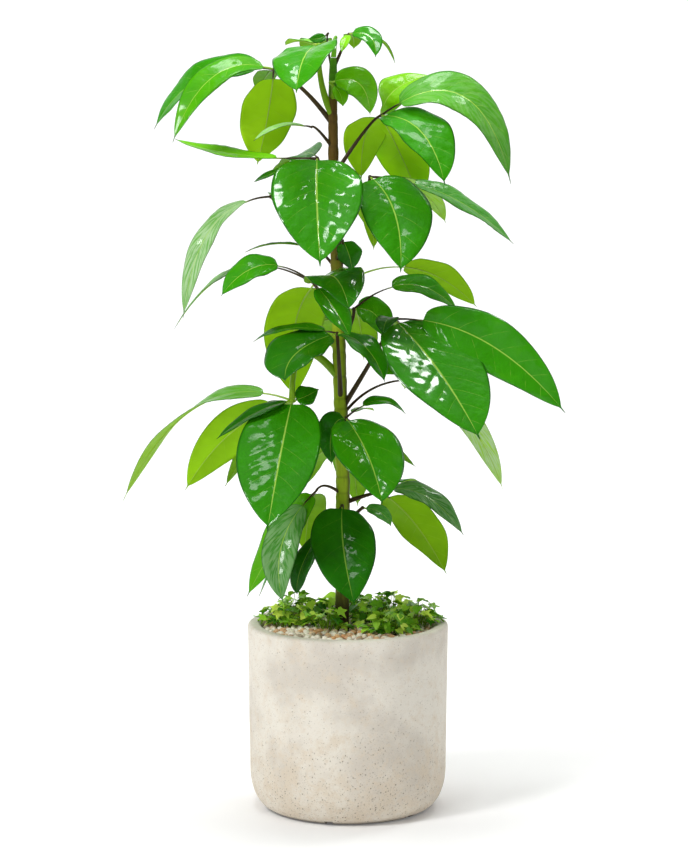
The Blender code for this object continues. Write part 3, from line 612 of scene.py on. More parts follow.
class Value:
    """A shader socket. Sums, differences and products of values add the Math nodes for them."""

    def __init__(self, look, socket):
        self.look = look
        self.socket = socket

    def __add__(self, other):
        return self.look.maths("ADD", self, other)

    def __sub__(self, other):
        return self.look.maths("SUBTRACT", self, other)

    def __rsub__(self, other):
        return self.look.maths("SUBTRACT", other, self)

    def __mul__(self, other):
        return self.look.maths("MULTIPLY", self, other)

    __radd__ = __add__
    __rmul__ = __mul__


class Look:
    """A material, built node by node round its Principled shader, with a colour that is painted over."""

    def __init__(self, name):
        self.material = bpy.data.materials.new(name)
        self.material.use_nodes = True
        self.tree = self.material.node_tree
        self.shader = self.tree.nodes["Principled BSDF"]
        self.shade = (1.0, 1.0, 1.0)

    def feed(self, socket, value):
        if isinstance(value, Value):
            self.tree.links.new(value.socket, socket)
        elif socket.type == "RGBA":
            socket.default_value = (*value[:3], 1.0)
        else:
            socket.default_value = value

    def add(self, kind, settings, sockets, output=0):
        """Adds a node: first its settings, then its sockets' values or links. It gives one output."""
        node = self.tree.nodes.new("ShaderNode" + kind)
        for name, setting in settings.items():
            if name == "stops":
                self.set_stops(node.color_ramp.elements, setting)
            else:
                setattr(node, name, setting)
        for name, value in sockets.items():
            self.feed(node.inputs[name], value)
        return Value(self, node.outputs[output])

    def set_stops(self, elements, stops):
        while len(elements) < len(stops):
            elements.new(1.0)
        for element, (position, shade) in zip(elements, stops):
            element.position = position
            element.color = (*shade[:3], 1.0)

    def maths(self, operation, *values):
        return self.add("Math", {"operation": operation}, dict(enumerate(values)))

    def between(self, value, low, high):
        """0 where the value is at low and 1 where it is at high, held there beyond them."""
        return self.add("MapRange", {"interpolation_type": "SMOOTHSTEP"},
                        {"Value": value, "From Min": low, "From Max": high})

    def mix(self, share, first, second):
        """The first colour where the share is 0, and the second where it is 1."""
        return self.add("Mix", {"data_type": "RGBA"}, {0: share, 6: first, 7: second}, 2)

    def paint(self, share, shade):
        """Lays a colour over the look's own, in full where the share is 1."""
        self.shade = self.mix(share, self.shade, shade)

    def ramp(self, value, *stops):
        return self.add("ValToRGB", {"stops": stops}, {"Fac": value})

    def place(self):
        """Where a point lies, in the object's own coordinates."""
        return self.add("TexCoord", {}, {}, 3)

    def part(self, axis, vector=None):
        """One part of a vector, from 0 for X to 2 for Z: of a point's place where no vector is given."""
        return self.add("SeparateXYZ", {}, {"Vector": vector or self.place()}, axis)

    def noise(self, scale, detail=3.0, roughness=0.5, stretch=(1, 1, 1)):
        """Cloudy noise on the object's own coordinates, from 0 to 1."""
        where = self.add("Mapping", {}, {"Vector": self.place(), "Scale": stretch})
        return self.add("TexNoise", {}, {"Vector": where, "Scale": scale, "Detail": detail,
                                         "Roughness": roughness})

    def cells(self, scale, output=0, **settings):
        """Cells on the object's own coordinates: the distance to a cell's point or edge, or its colour."""
        return self.add("TexVoronoi", settings, {"Vector": self.place(), "Scale": scale}, output)

    def attribute(self, name):
        return self.add("Attribute", {"attribute_name": name}, {}, 2)

    def bump(self, height, distance, normal=None):
        sockets = {"Height": height, "Distance": distance}
        if normal:
            sockets["Normal"] = normal
        return self.add("Bump", {}, sockets)

    def finish(self, **sockets):
        """Feeds the look's own colour and these sockets to its shader. Underscores stand for spaces."""
        self.feed(self.shader.inputs["Base Color"], self.shade)
        for name, value in sockets.items():
            self.feed(self.shader.inputs[name.replace("_", " ")], value)
        return self.material


def concrete_look(colours):
    """Cast concrete: grey clouds, warm stains and chips, fine grains, small open pits, and a painted shadow:
    a dark line at the foot that rises over the notches. Towards the foot it is warmer, darker and rougher."""
    look = Look("cast_concrete")
    sideways, forward, height = (look.part(axis) for axis in range(3))
    low = look.between(height, 0.17, 0.02)
    clouds = look.noise(9.0, 4.0, 0.6)
    stains = look.noise(30.0, 5.0, 0.7)
    look.shade = look.mix(look.between(clouds, 0.42, 0.66), colours.concrete, colours.concrete_grey)
    look.paint(look.between(stains + low * 0.12, 0.52, 0.74) * 0.7, colours.concrete_warm)
    grain = look.noise(900.0, 2.0)
    pores = look.cells(290.0)
    size = look.add("SeparateColor", {}, {"Color": look.cells(290.0, 1)})
    open_pits = look.between(pores - look.between(size, 0.6, 1.0) * (low * 0.10 + 0.13), 0.10, 0.02)
    open_pits = open_pits * look.between(look.noise(16.0, 2.0) + low * 0.1, 0.36, 0.52)
    specks = look.between(look.noise(420.0, 3.0, 0.7) + low * 0.03, 0.60, 0.72)
    chips = look.between(look.noise(110.0, 4.0, 0.75), 0.50, 0.64) * (low * 0.45 + 0.30)
    look.paint(chips, colours.concrete_warm)
    # Warmer and darker towards the foot
    look.paint(low * 0.25, colours.concrete_warm)
    # Painted shadow: a dark line where the foot meets the floor
    contact_shadow = look.between(height + (stains - 0.5) * 0.004, 0.0075, 0.0010)
    look.paint(contact_shadow * 0.85, colours.painted_shadow)
    # Painted shadow in the drainage notches under the foot
    around = look.maths("ARCTAN2", forward, sideways) - NOTCH_FIRST_ANGLE
    beside = look.maths("PINGPONG", around, math.pi / NOTCH_COUNT)
    notches = look.between(beside, 0.055, 0.045) * look.between(height, 0.0070, 0.0050)
    look.paint(notches, colours.painted_shadow)
    look.paint(open_pits * 0.75, colours.pit)
    look.paint(specks * 0.60, colours.pit)
    look.paint(look.between(grain, 0.3, 0.8) * 0.10, (1.0, 1.0, 1.0))
    relief = grain * 0.25 + look.noise(70.0, 5.0, 0.6) - open_pits * 1.6
    return look.finish(Roughness=0.62 + grain * 0.3, Normal=look.bump(relief, 0.0010))


def soil_look(colours):
    look = Look("potting_soil")
    crumbs = look.noise(260.0, 6.0, 0.7)
    look.shade = look.mix(look.between(crumbs, 0.35, 0.7), (0.012, 0.008, 0.005), colours.soil)
    return look.finish(Roughness=0.95, Normal=look.bump(crumbs, 0.003))


def pebble_look(colours):
    """Each stone takes its colour from its own tone, with veins and specks."""
    look = Look("river_pebbles")
    look.shade = look.ramp(look.attribute("tone"), (0.52, colours.pebble_cream), (0.68, colours.pebble_tan),
                           (0.82, colours.pebble_orange), (0.94, colours.pebble_grey))
    clouds = look.noise(230.0, 4.0, 0.6)
    specks = look.between(look.noise(1500.0, 2.0), 0.60, 0.72)
    look.paint(look.between(clouds, 0.40, 0.80) * 0.25, colours.pebble_tan)
    look.paint(specks * 0.4, colours.pebble_grey)
    return look.finish(Roughness=0.38 + clouds * 0.3, Normal=look.bump(look.noise(700.0, 4.0), 0.0003))


def bark_look(colours):
    """Furrowed bark: dark at the foot, then olive, brown and green at the top, with painted shade darkening
    it towards the right, and darker in the rings at scars."""
    look = Look("stem_bark")
    furrows = look.noise(340.0, 4.0, 0.6, (1, 1, 0.09))
    clouds = look.noise(60.0, 3.0, 0.6, (1, 1, 0.4))
    height = look.part(2) + (clouds - 0.5) * 0.07
    look.shade = look.mix(look.between(height, 0.27, 0.36), colours.bark_dark, colours.bark_olive)
    look.paint(look.between(height, 0.70, 0.80), colours.bark)
    look.paint(look.between(height, 0.98, 1.02), colours.green_stem)
    look.paint(look.between(clouds, 0.45, 0.75) * 0.25, colours.bark)
    # Painted shade: the bark darkens towards the stem's right side, away from the light
    look.paint(look.between(look.attribute("shaded"), 0.35, 0.95) * 0.75, colours.bark_dark)
    look.paint(look.between(furrows, 0.50, 0.75) * 0.45, colours.bark_dark)
    look.paint(look.attribute("scar") * 0.3, colours.bark_dark)
    return look.finish(Roughness=0.42 + furrows * 0.25, Specular_IOR_Level=0.2,
                       Normal=look.bump(furrows, 0.0006))


def shoot_look(colours):
    look = Look("young_shoot")
    fibres = look.noise(500.0, 3.0, 0.5, (1, 1, 0.1))
    look.shade = look.mix(fibres, colours.leaf_young, colours.green_stem)
    return look.finish(Roughness=0.4, Normal=look.bump(fibres, 0.0002))


def stalk_look(colours):
    """Leaf stalks: green on young leaves, brown on old ones, with fine fibres."""
    look = Look("leaf_stalk")
    young = look.between(look.attribute("tone") + look.noise(45.0, 3.0, 0.6) * 0.5, 0.55, 0.95)
    fibres = look.noise(800.0, 2.0)
    look.shade = look.mix(young, colours.stalk_brown, colours.stalk_green)
    return look.finish(Roughness=0.4, Specular_IOR_Level=0.2, Normal=look.bump(fibres, 0.0002))


def midrib_look(colours):
    look = Look("leaf_midrib")
    young = look.between(look.attribute("tone"), 0.0, 0.8)
    look.shade = look.mix(young * 0.6, colours.stalk_green, colours.vein)
    look.paint(look.attribute("woody"), colours.stalk_brown)
    return look.finish(Roughness=0.45, Specular_IOR_Level=0.3)


def vein_masks(look):
    """Where a blade's bloom and painted sheen, side veins, midrib, margin and tip are: each 1 there and 0
    beside it.
    """
    place = look.add("UVMap", {"uv_map": "blade"}, {})
    side = look.maths("ABSOLUTE", look.part(0, place) * 2 - 1)
    away = look.maths("PINGPONG", look.attribute("vein"), 0.5)
    broken = look.between(look.noise(90.0, 3.0), 0.35, 0.60)
    veins = look.between(away, 0.024, 0.006) * look.between(side, 0.96, 0.55) * broken
    midrib = look.between(side, 0.045, 0.018)
    margin = look.between(side, 0.945, 0.985)
    ahead = look.part(1, place)
    tip = look.between(ahead, 0.93, 0.985)
    lines = look.add("CombineXYZ", {}, {"X": ahead * 26 - side * 9, "Y": side * 3,
                                        "Z": look.attribute("tone") * 9})
    streaks = look.add("TexNoise", {}, {"Vector": lines, "Scale": 1.0, "Detail": 3.0})
    # Pale streaks of bloom, partly a painted sheen
    bloom = (look.between(streaks, 0.38, 0.60) * 0.75 + 0.25) * look.attribute("bloom")
    return bloom, veins, midrib, margin, tip


def leaf_top_look(colours):
    """The waxy upper side of a leaflet: clouds of colour, a pale midrib and faint side veins."""
    look = Look("leaf_top")
    bloom, veins, midrib, margin, tip = vein_masks(look)
    clouds = look.noise(22.0, 3.0, 0.55)
    tone = look.attribute("tone") + (clouds - 0.5) * 0.26
    look.shade = look.ramp(tone, (0.0, colours.leaf_dark), (0.5, colours.leaf_mid), (1.0, colours.leaf_young))
    light = look.between(tone, -0.1, 0.5)
    look.paint(bloom, colours.bloom)
    look.paint(veins * light * 0.26, colours.vein)
    look.paint(midrib * (0.25 + light * 0.42), colours.vein)
    look.paint(margin * 0.65, colours.leaf_dark)
    look.paint(tip * 0.75, colours.leaf_dark)
    net = look.cells(420.0, feature="DISTANCE_TO_EDGE")
    fine = look.between(net, 0.0, 0.12) * 0.05 - veins * 0.35 - midrib * 0.8
    waves = look.bump(look.noise(80.0, 3.0, 0.6), 0.0018)
    wet = look.between(look.noise(44.0, 4.0, 0.7), 0.38, 0.52) * 0.85 + 0.15
    return look.finish(Roughness=0.36 + look.noise(80.0, 2.0) * 0.12,
                       Specular_IOR_Level=0.08, Coat_Weight=wet * look.attribute("gloss"),
                       Coat_Roughness=0.08, Coat_IOR=1.6,
                       Normal=look.bump(fine, 0.0003, normal=waves))


def leaf_underside_look(colours):
    """The matt, paler underside of a leaflet, with its side veins raised; on young leaflets it is brightened
    with painted light shining through.
    """
    look = Look("leaf_underside")
    bloom, veins, midrib, margin, tip = vein_masks(look)
    clouds = look.noise(30.0, 3.0, 0.55)
    tone = look.attribute("tone") + (clouds - 0.5) * 0.3
    look.shade = look.ramp(tone, (0.0, colours.under_dark), (1.0, colours.under_young_glow))
    look.paint(bloom, colours.bloom)
    look.paint(veins * 0.20, colours.vein)
    look.paint(midrib * 0.55, colours.vein)
    look.paint(look.maths("MAXIMUM", margin, tip) * 0.30, colours.leaf_dark)
    height = veins * 0.6 + look.noise(600.0, 2.0) * 0.1
    return look.finish(Roughness=0.6, Specular_IOR_Level=0.1, Normal=look.bump(height, 0.0004))


def cover_look(colours):
    """Small ground-cover leaves, each with its own tone and faint clouds."""
    look = Look("cover_leaf")
    tone = look.attribute("tone") + (look.noise(160.0, 2.0) - 0.5) * 0.2
    look.shade = look.ramp(tone, (0.0, colours.cover_dark), (0.5, colours.cover_mid),
                           (1.0, colours.cover_bright))
    return look.finish(Roughness=0.45, Specular_IOR_Level=0.3,
                       Normal=look.bump(look.noise(500.0, 3.0), 0.0003))


def paper_look(colours):
    """White paper for the studio, with a glow of its own that keeps its shadows pale."""
    look = Look("studio_paper")
    look.shade = colours.floor
    return look.finish(Roughness=0.9, Specular_IOR_Level=0.1, Emission_Color=colours.floor,
                       Emission_Strength=0.09)


class PLANT_OT_pot(bpy.types.Operator):
    """Make the round concrete pot"""

    bl_idname = "plant.pot"
    bl_label = "Pot"

    def execute(self, context):
        sizes = context.scene.plant_sizes
        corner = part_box("pot")[1]
        radius, top = corner.x, corner.z
        wall = radius - WALL_LEAN
        inside = radius - sizes.pot_wall
        edge = sizes.rim_round
        profile = arc((sizes.foot_radius, sizes.foot_round), wall - sizes.foot_radius, sizes.foot_round,
                      -90, 0, 18)
        rise = top - edge - sizes.foot_round
        profile += [(wall + (radius - wall) * i / WALL_STEPS, sizes.foot_round + rise * i / WALL_STEPS)
                    for i in range(1, WALL_STEPS)]
        profile += arc((radius - edge, top - edge), edge, edge, 0, 90, 6)
        profile += arc((inside + edge, top - edge), edge, edge, 90, 180, 6)
        profile += [(inside, top - 0.030), (inside, sizes.pot_floor + FLOOR_BEVEL),
                    (inside - FLOOR_BEVEL, sizes.pot_floor)]
        pot = turned("concrete_pot", profile, POT_SIDES)
        self.cut_notches(pot, sizes)
        self.roughen(pot)
        bpy.ops.object.shade_smooth_by_angle(angle=math.radians(40))
        pot.data.materials.append(concrete_look(context.scene.plant_colours))
        dress(pot, "pot", "pot")
        return {"FINISHED"}

    def cut_notches(self, pot, sizes):
        """Drainage notches under the foot's edge."""
        cutters = []
        for i in range(NOTCH_COUNT):
            angle = NOTCH_FIRST_ANGLE + math.tau * i / NOTCH_COUNT
            spot = (sizes.foot_radius * math.cos(angle), sizes.foot_radius * math.sin(angle), 0)
            deselect()
            bpy.ops.mesh.primitive_cube_add(size=1, location=spot, rotation=(0, 0, angle))
            cutter = bpy.context.object
            cutter.scale = (NOTCH_LENGTH, sizes.notch_width, 2 * sizes.notch_height)
            apply_place(cutter)
            cutters.append(cutter)
        cutter = join(cutters, "notches")
        cut = pot.modifiers.new("notches", "BOOLEAN")
        cut.operation = "DIFFERENCE"
        cut.object = cutter
        cut.solver = "EXACT"
        apply_modifiers(pot)
        bpy.data.objects.remove(cutter)

    def roughen(self, pot):
        """Small swells in the walls, as a cast leaves them. Nothing goes below the ground."""
        texture = bpy.data.textures.new("cast_swells", "CLOUDS")
        texture.noise_scale = SWELL_WIDTH
        swell = pot.modifiers.new("swells", "DISPLACE")
        swell.texture = texture
        swell.strength = SWELL_HEIGHT
        swell.mid_level = 0.5
        apply_modifiers(pot)
        for vert in pot.data.vertices:
            vert.co.z = max(vert.co.z, 0.0)


class PLANT_OT_pebbles(bpy.types.Operator):
    """Lay the pebbles on the soil"""

    bl_idname = "plant.pebbles"
    bl_label = "Soil and pebbles"

    def execute(self, context):
        sizes, colours = context.scene.plant_sizes, context.scene.plant_colours
        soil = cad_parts["soil"]
        soil.data.materials.clear()
        soil.data.materials.append(soil_look(colours))
        low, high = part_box("pebbles")
        chance = random.Random(PEBBLE_SEED)
        models = [self.stone(chance) for _ in range(STONE_MODELS)]
        laid = []
        for rise, spacing, inset in PEBBLE_LAYERS:
            for ring in range(sizes.pebble_rings):
                away = (high.x - PEBBLE_EDGE) * (1 - ring / sizes.pebble_rings) - inset
                count = max(1, int(math.tau * away / (sizes.pebble * spacing)))
                start = chance.uniform(0, math.tau)
                for i in range(count):
                    angle = start + math.tau * (i + chance.uniform(-0.2, 0.2)) / count
                    near = away + chance.uniform(-0.0018, 0.0012)
                    centre = Vector((near * math.cos(angle), near * math.sin(angle), low.z + rise))
                    if (centre.xy - Vector(STEM_LINE[1]).xy).length >= STEM_ROOM:
                        laid.append(self.lay(chance.choice(models), centre, sizes, chance, high.z))
        for model in models:
            bpy.data.objects.remove(model)
        pebbles = join(laid, "pebbles_loose")
        bpy.ops.object.shade_smooth()
        pebbles.data.materials.append(pebble_look(colours))
        dress(pebbles, "pebbles", "pebbles")
        return {"FINISHED"}

    def stone(self, chance):
        """A water-worn stone of unit length: a ball flattened in edit mode, with worn faces."""
        deselect()
        bpy.ops.mesh.primitive_ico_sphere_add(subdivisions=3, radius=0.5)
        stone = added("stone_model")
        edit("VERT")
        bpy.ops.transform.resize(value=(1.0, 0.82, 0.66))
        leave_edit()
        for _ in range(WORN_FACES):
            normal = Vector([chance.gauss(0, 1) for _ in range(3)]).normalized()
            depth = chance.uniform(0.30, 0.42)
            for vert in stone.data.vertices:
                over = vert.co.dot(normal) - depth
                if over > 0:
                    vert.co -= normal * over * 0.75
        worn = stone.modifiers.new("worn", "DECIMATE")
        worn.ratio = 0.13
        apply_modifiers(stone)
        return stone

    def lay(self, model, centre, sizes, chance, top):
        """A copy of a stone, turned at random and laid nearly flat, its top no higher than the bed's."""
        stone = duplicate(model, "pebble")
        spin = Matrix.Rotation(chance.uniform(0, math.tau), 4, "Z")
        pitch, roll = (Matrix.Rotation(chance.uniform(-STONE_TILT, STONE_TILT), 4, axis) for axis in "XY")
        size = sizes.pebble * chance.uniform(0.78, 1.22)
        place(stone, Matrix.Translation(centre) @ pitch @ roll @ spin @ Matrix.Scale(size, 4))
        over = max(vert.co.z for vert in stone.data.vertices) - top
        if over > 0:
            place(stone, Matrix.Translation((0, 0, -over)))
        mark(stone, "tone", chance.random())
        return stone


class PLANT_OT_stem(bpy.types.Operator):
    """Make the stem with its joints and scars, and the growing tip"""

    bl_idname = "plant.stem"
    bl_label = "Stem and shoot"

    def execute(self, context):
        sizes, colours = context.scene.plant_sizes, context.scene.plant_colours
        low, high = STEM_LINE[0][2], STEM_LINE[-1][2]
        heights = [low + (high - low) * i / STEM_STEPS for i in range(STEM_STEPS + 1)]
        radii = [self.radius(sizes, height) for height in heights]
        stem = tube("woody_stem", [stem_point(height) for height in heights], radii, 8)
        bpy.ops.object.shade_smooth_by_angle(angle=math.radians(40))
        places = [vert.co for vert in stem.data.vertices]
        write(stem, "scar", [self.scar(place.z) for place in places])
        # For the painted shade: how far each point lies right of the stem's middle, in stem radii
        write(stem, "shaded", [(place - stem_point(place.z)).x / sizes.stem_radius for place in places])
        stem.data.materials.append(bark_look(colours))
        dress(stem, "stem", "stem")
        self.make_shoot(sizes, colours)
        return {"FINISHED"}

    def near_joint(self, height, above, span):
        """1 this far above the nearest leaf's joint, and 0 away from it."""
        return max(hump(height - (entry[0] / 1000 - JOINT_BELOW) - above, span) for entry in LEAVES.values())

    def scar(self, height):
        """1 in the narrow dark ring above each joint, and 0 away from it."""
        return self.near_joint(height, SCAR_ABOVE, SCAR_SPAN)

    def radius(self, sizes, height):
        """The stem thins towards its top, which ends in a slope round the shoot's foot, swells at each
        leaf's joint and has rings where old leaves were."""
        top = STEM_LINE[-1][2]
        share = max(0.0, (height - EVEN_UP_TO) / (top - EVEN_UP_TO))
        radius = sizes.stem_radius - (sizes.stem_radius - sizes.stem_top) * share ** 3
        swell = 0.06 * self.near_joint(height, 0.0, JOINT_SPAN)
        ring = 0.012 * hump(height % RING_SPACING - RING_SPACING / 2, RING_SPAN)
        slope = TOP_SHARE if height > top - TOP_SLOPE else 1.0
        return radius * slope * (1 + swell + ring - 0.05 * self.scar(height))

    def make_shoot(self, sizes, colours):
        """The growing tip: a slim folded shoot with a rounded top, and a narrower sheath along its side."""
        foot, low, middle, top = (Vector(point) for point in SHOOT_LINE)
        bent = middle.lerp(top, 0.5) - Vector((0.0004, 0, 0))
        points = [along(foot, low, middle, share) for share in shares(20)[:-1]]
        points += [along(middle, bent, top, share) for share in shares(20)]
        radii = [SHOOT_RADIUS * (1 + 0.3 * (1 - share) ** 6) * math.sqrt(1.0001 - share ** 12)
                 for share in shares(len(points) - 1)]
        shoot = tube("shoot", points, radii, 6)
        side = [point + Vector((0.0021, -0.0008, 0)) for point in points[:30]]
        radii = [SHEATH_RADIUS * (1 - share ** 3) + 0.0002 for share in shares(30)[:-1]]
        sheath = tube("sheath", side, radii, 4)
        shoot = join([shoot, sheath], "shoot")
        shoot.data.materials.append(shoot_look(colours))
        dress(shoot, "young_green", "stem_tip")


def stem_point(height):
    """The middle of the stem at a height."""
    for low, high in zip(STEM_LINE, STEM_LINE[1:]):
        if height <= high[2]:
            share = (height - low[2]) / (high[2] - low[2])
            return Vector(low).lerp(Vector(high), share)
    return Vector(STEM_LINE[-1])


class PLANT_OT_leaves(bpy.types.Operator):
    """Make the hand-shaped leaves, each with its stalk and leaflets"""

    bl_idname = "plant.leaves"
    bl_label = "Leaves"

    def execute(self, context):
        sizes, colours = context.scene.plant_sizes, context.scene.plant_colours
        self.top = leaf_top_look(colours)
        self.underside = leaf_underside_look(colours)
        self.stalk = stalk_look(colours)
        self.midrib = midrib_look(colours)
        for number, (name, entry) in enumerate(LEAVES.items()):
            self.make_leaf(name, entry, sizes, random.Random(LEAF_SEED + number))
        return {"FINISHED"}

    def make_leaf(self, name, entry, sizes, chance):
        height, halfway, hub = metres(entry[:3])
        start = stem_point(height)
        slim = SLIM_STALK if (Vector(hub) - start).length < SHORT_STALK else 1.0
        radius = sizes.stalk * slim * STOUTNESS.get(name, 1.0)
        green = name in GREEN_STALKS
        pieces = [self.make_stalk(start, halfway, hub, radius, GREEN_TONE if green else BROWN_TONE)]
        for number, leaflet in enumerate(entry[3]):
            leaflet = (*metres(leaflet[:3]), leaflet[3], leaflet[4] / 100, leaflet[5] / 100)
            pieces.append(self.make_midrib(hub, leaflet, sizes, slim, green))
            blade = self.make_blade(hub, leaflet, sizes, chance)
            mark(blade, "bloom", BLOOM_AND_SHEEN.get((name, number), 0.0))
            mark(blade, "gloss", GLOSS.get((name, number), USUAL_GLOSS))
            pieces.append(blade)
        leaf = join(pieces, name + "_blades")
        dress(leaf, "leaf", name)

    def make_stalk(self, start, halfway, hub, radius, tone):
        """The leaf's stalk, thicker at the stem and a little at the leaflets, with a knob where they meet."""
        points = [along(start, halfway, hub, share) for share in shares(STALK_STEPS)]
        radii = [radius * (1.0 + 0.9 * (1 - share) ** 1.5 + 0.35 * share ** 12)
                 for share in shares(STALK_STEPS)]
        stalk = tube("stalk", points, radii, 3)
        deselect()
        bpy.ops.mesh.primitive_ico_sphere_add(subdivisions=2, radius=radius * 1.35, location=hub)
        knob = bpy.context.object
        bpy.ops.object.shade_smooth()
        apply_place(knob)
        whole = join([stalk, knob], "stalk")
        whole.data.materials.append(self.stalk)
        mark(whole, "tone", tone)
        return whole

    def make_midrib(self, hub, leaflet, sizes, slim, green):
        """A leaflet's short stalk, which runs on under the blade as its midrib."""
        bare = leaflet[4]
        points, radii = [], []
        for share in shares(MIDRIB_STEPS):
            middle, _, face = blade_axes(hub, leaflet, np.array([share * 0.985]))
            radius = sizes.midrib * (0.8 + 0.2 * slim) * (1 - 0.78 * share)
            radius *= 1.0 + 0.35 * (1 - smooth(share, 0.0, max(bare, 0.03)))
            under = radius * smooth(share, bare * 0.5, bare + 0.02)
            points.append(Vector(middle[0] - face[0] * under))
            radii.append(float(radius))
        midrib = tube("midrib", points, radii, 2)
        midrib.data.materials.append(self.midrib)
        mark(midrib, "tone", leaflet[5])
        line = np.array(points)
        nearest = [np.argmin(((line - vert.co) ** 2).sum(axis=1)) for vert in midrib.data.vertices]
        brown = 0.0 if green or bare <= 0.09 else 1.0
        beyond = smooth(np.array(nearest) / MIDRIB_STEPS, bare * 0.8, bare + 0.03)
        write(midrib, "woody", brown * (1 - beyond))
        return midrib

    def make_blade(self, hub, leaflet, sizes, chance):
        """A leaflet's blade: a grid laid along its midrib, bulging between its veins, and then thickened."""
        tip, _, width, _, bare, tone = leaflet
        span = (Vector(tip) - Vector(hub)).length * (1 - bare)
        rows = max(16, round(span / ROW_SPACING))
        columns = max(10, round(width / COLUMN_SPACING))
        deselect()
        bpy.ops.mesh.primitive_grid_add(x_subdivisions=columns, y_subdivisions=rows, size=2)
        blade = bpy.context.object
        mesh = blade.data
        mesh.uv_layers[0].name = "blade"
        flat = np.empty(len(mesh.vertices) * 3, np.float32)
        mesh.vertices.foreach_get("co", flat)
        flat = flat.reshape(-1, 3)
        side, share = flat[:, 0].astype(float), (flat[:, 1].astype(float) + 1) / 2
        side = np.sign(side) * np.abs(side) ** CROWDING
        count = max(4.0, round(span / sizes.vein_spacing))
        uneven = 0.018 * np.sin(9.0 * share + chance.uniform(0, math.tau))
        slant = VEIN_SLANT * width / 2 * blade_outline(share) / span * np.abs(side) ** VEIN_BEND
        veins = count * (share + uneven - slant) + VEIN_SHIFT * (side > 0)
        points = self.blade_points(hub, leaflet, side, share, veins, sizes, chance)
        mesh.vertices.foreach_set("co", points.astype(np.float32).ravel())
        write(blade, "vein", veins)
        mark(blade, "tone", min(1.0, max(0.0, tone + chance.uniform(-0.04, 0.04))))
        mesh.update()
        edit("VERT")
        bpy.ops.mesh.remove_doubles(threshold=1e-6)
        leave_edit()
        bpy.ops.object.shade_smooth()
        mesh.materials.append(self.top)
        mesh.materials.append(self.underside)
        thicken(blade, sizes.blade, 0.0, 1)
        return blade

    def blade_points(self, hub, leaflet, side, share, veins, sizes, chance):
        """Where the blade's points lie, for arrays of places across and along it."""
        width, bare = leaflet[2], leaflet[4]
        middle, across, face = blade_axes(hub, leaflet, bare + (1 - bare) * share)
        lopsided = 1 + 0.05 * chance.uniform(-1, 1) * side
        half = width / 2 * blade_outline(share) * lopsided
        away = np.abs(side)
        lift = 0.12 * half * (1.5 * away - 0.5 * away ** 3)
        bulge = np.abs(np.sin(np.pi * veins)) ** 0.7 * smooth(away, 0.02, 0.25) * (1 - smooth(away, 0.7, 1.0))
        lift += sizes.vein_relief * bulge * smooth(half, 0.003, 0.02)
        span = (Vector(leaflet[0]) - Vector(hub)).length
        lift += sizes.ripple * ripples(side * half, share * span, chance) * smooth(half, 0.004, 0.02)
        turns, phase = chance.uniform(1.6, 2.6), chance.uniform(0, math.tau)
        wave = np.sin(math.tau * turns * share + phase + 0.9 * np.sign(side))
        lift += sizes.margin_wave * wave * away ** 2.5 * smooth(half, 0.002, 0.03) * smooth(share, 0.0, 0.2)
        return middle + across * (side * half)[:, None] + face * lift[:, None]


def ripples(across, ahead, chance):
    """Small uneven waves over a blade, from about -1 to 1, for distances across and along it in metres."""
    total = np.zeros_like(across)
    for _ in range(7):
        turn, phase = chance.uniform(0, math.tau), chance.uniform(0, math.tau)
        waves = (across * math.cos(turn) + ahead * math.sin(turn)) / chance.uniform(0.011, 0.022)
        total += np.sin(math.tau * waves + phase) / 3
    return total


def blade_outline(share):
    """Half width of a blade as a share of the widest: a rounded base, and a tip drawn out to a point."""
    share = np.clip(share, 0.0, 1.0)
    body = np.maximum(np.sin(np.pi * np.minimum(share / 0.96, 1.0) ** 0.86), 0.0) ** (0.44 + 0.30 * share)
    drip = 0.13 * np.sqrt(1 - share) * smooth(share, 0.5, 0.9)
    return np.hypot(body, drip)


def blade_axes(hub, leaflet, places):
    """The midrib's points at these places from 0 at the hub to 1 at the tip, and the directions across the
    blade and out of its face there."""
    tip, halfway, hub = np.array(leaflet[0]), np.array(leaflet[1]), np.array(hub)
    first, last = leaflet[3] if isinstance(leaflet[3], tuple) else (leaflet[3], leaflet[3])
    turn = np.radians(first + (last - first) * places)[:, None]
    bend = 2 * halfway - (hub + tip) / 2
    left = (1 - places)[:, None]
    places = places[:, None]
    middle = left * left * hub + 2 * left * places * bend + places * places * tip
    ahead = 2 * left * (bend - hub) + 2 * places * (tip - bend)
    ahead /= np.linalg.norm(ahead, axis=1, keepdims=True)
    outward = np.array((tip[0] - hub[0], tip[1] - hub[1], 0.0))
    up = 0.8 * outward / np.linalg.norm(outward) + np.array((0.0, 0.0, 1.0))
    up = up - (ahead @ up)[:, None] * ahead
    up /= np.linalg.norm(up, axis=1, keepdims=True)
    across = np.cross(ahead, up)
    face = np.cos(turn) * up + np.sin(turn) * across
    across = np.cos(turn) * across - np.sin(turn) * up
    return middle, across, face


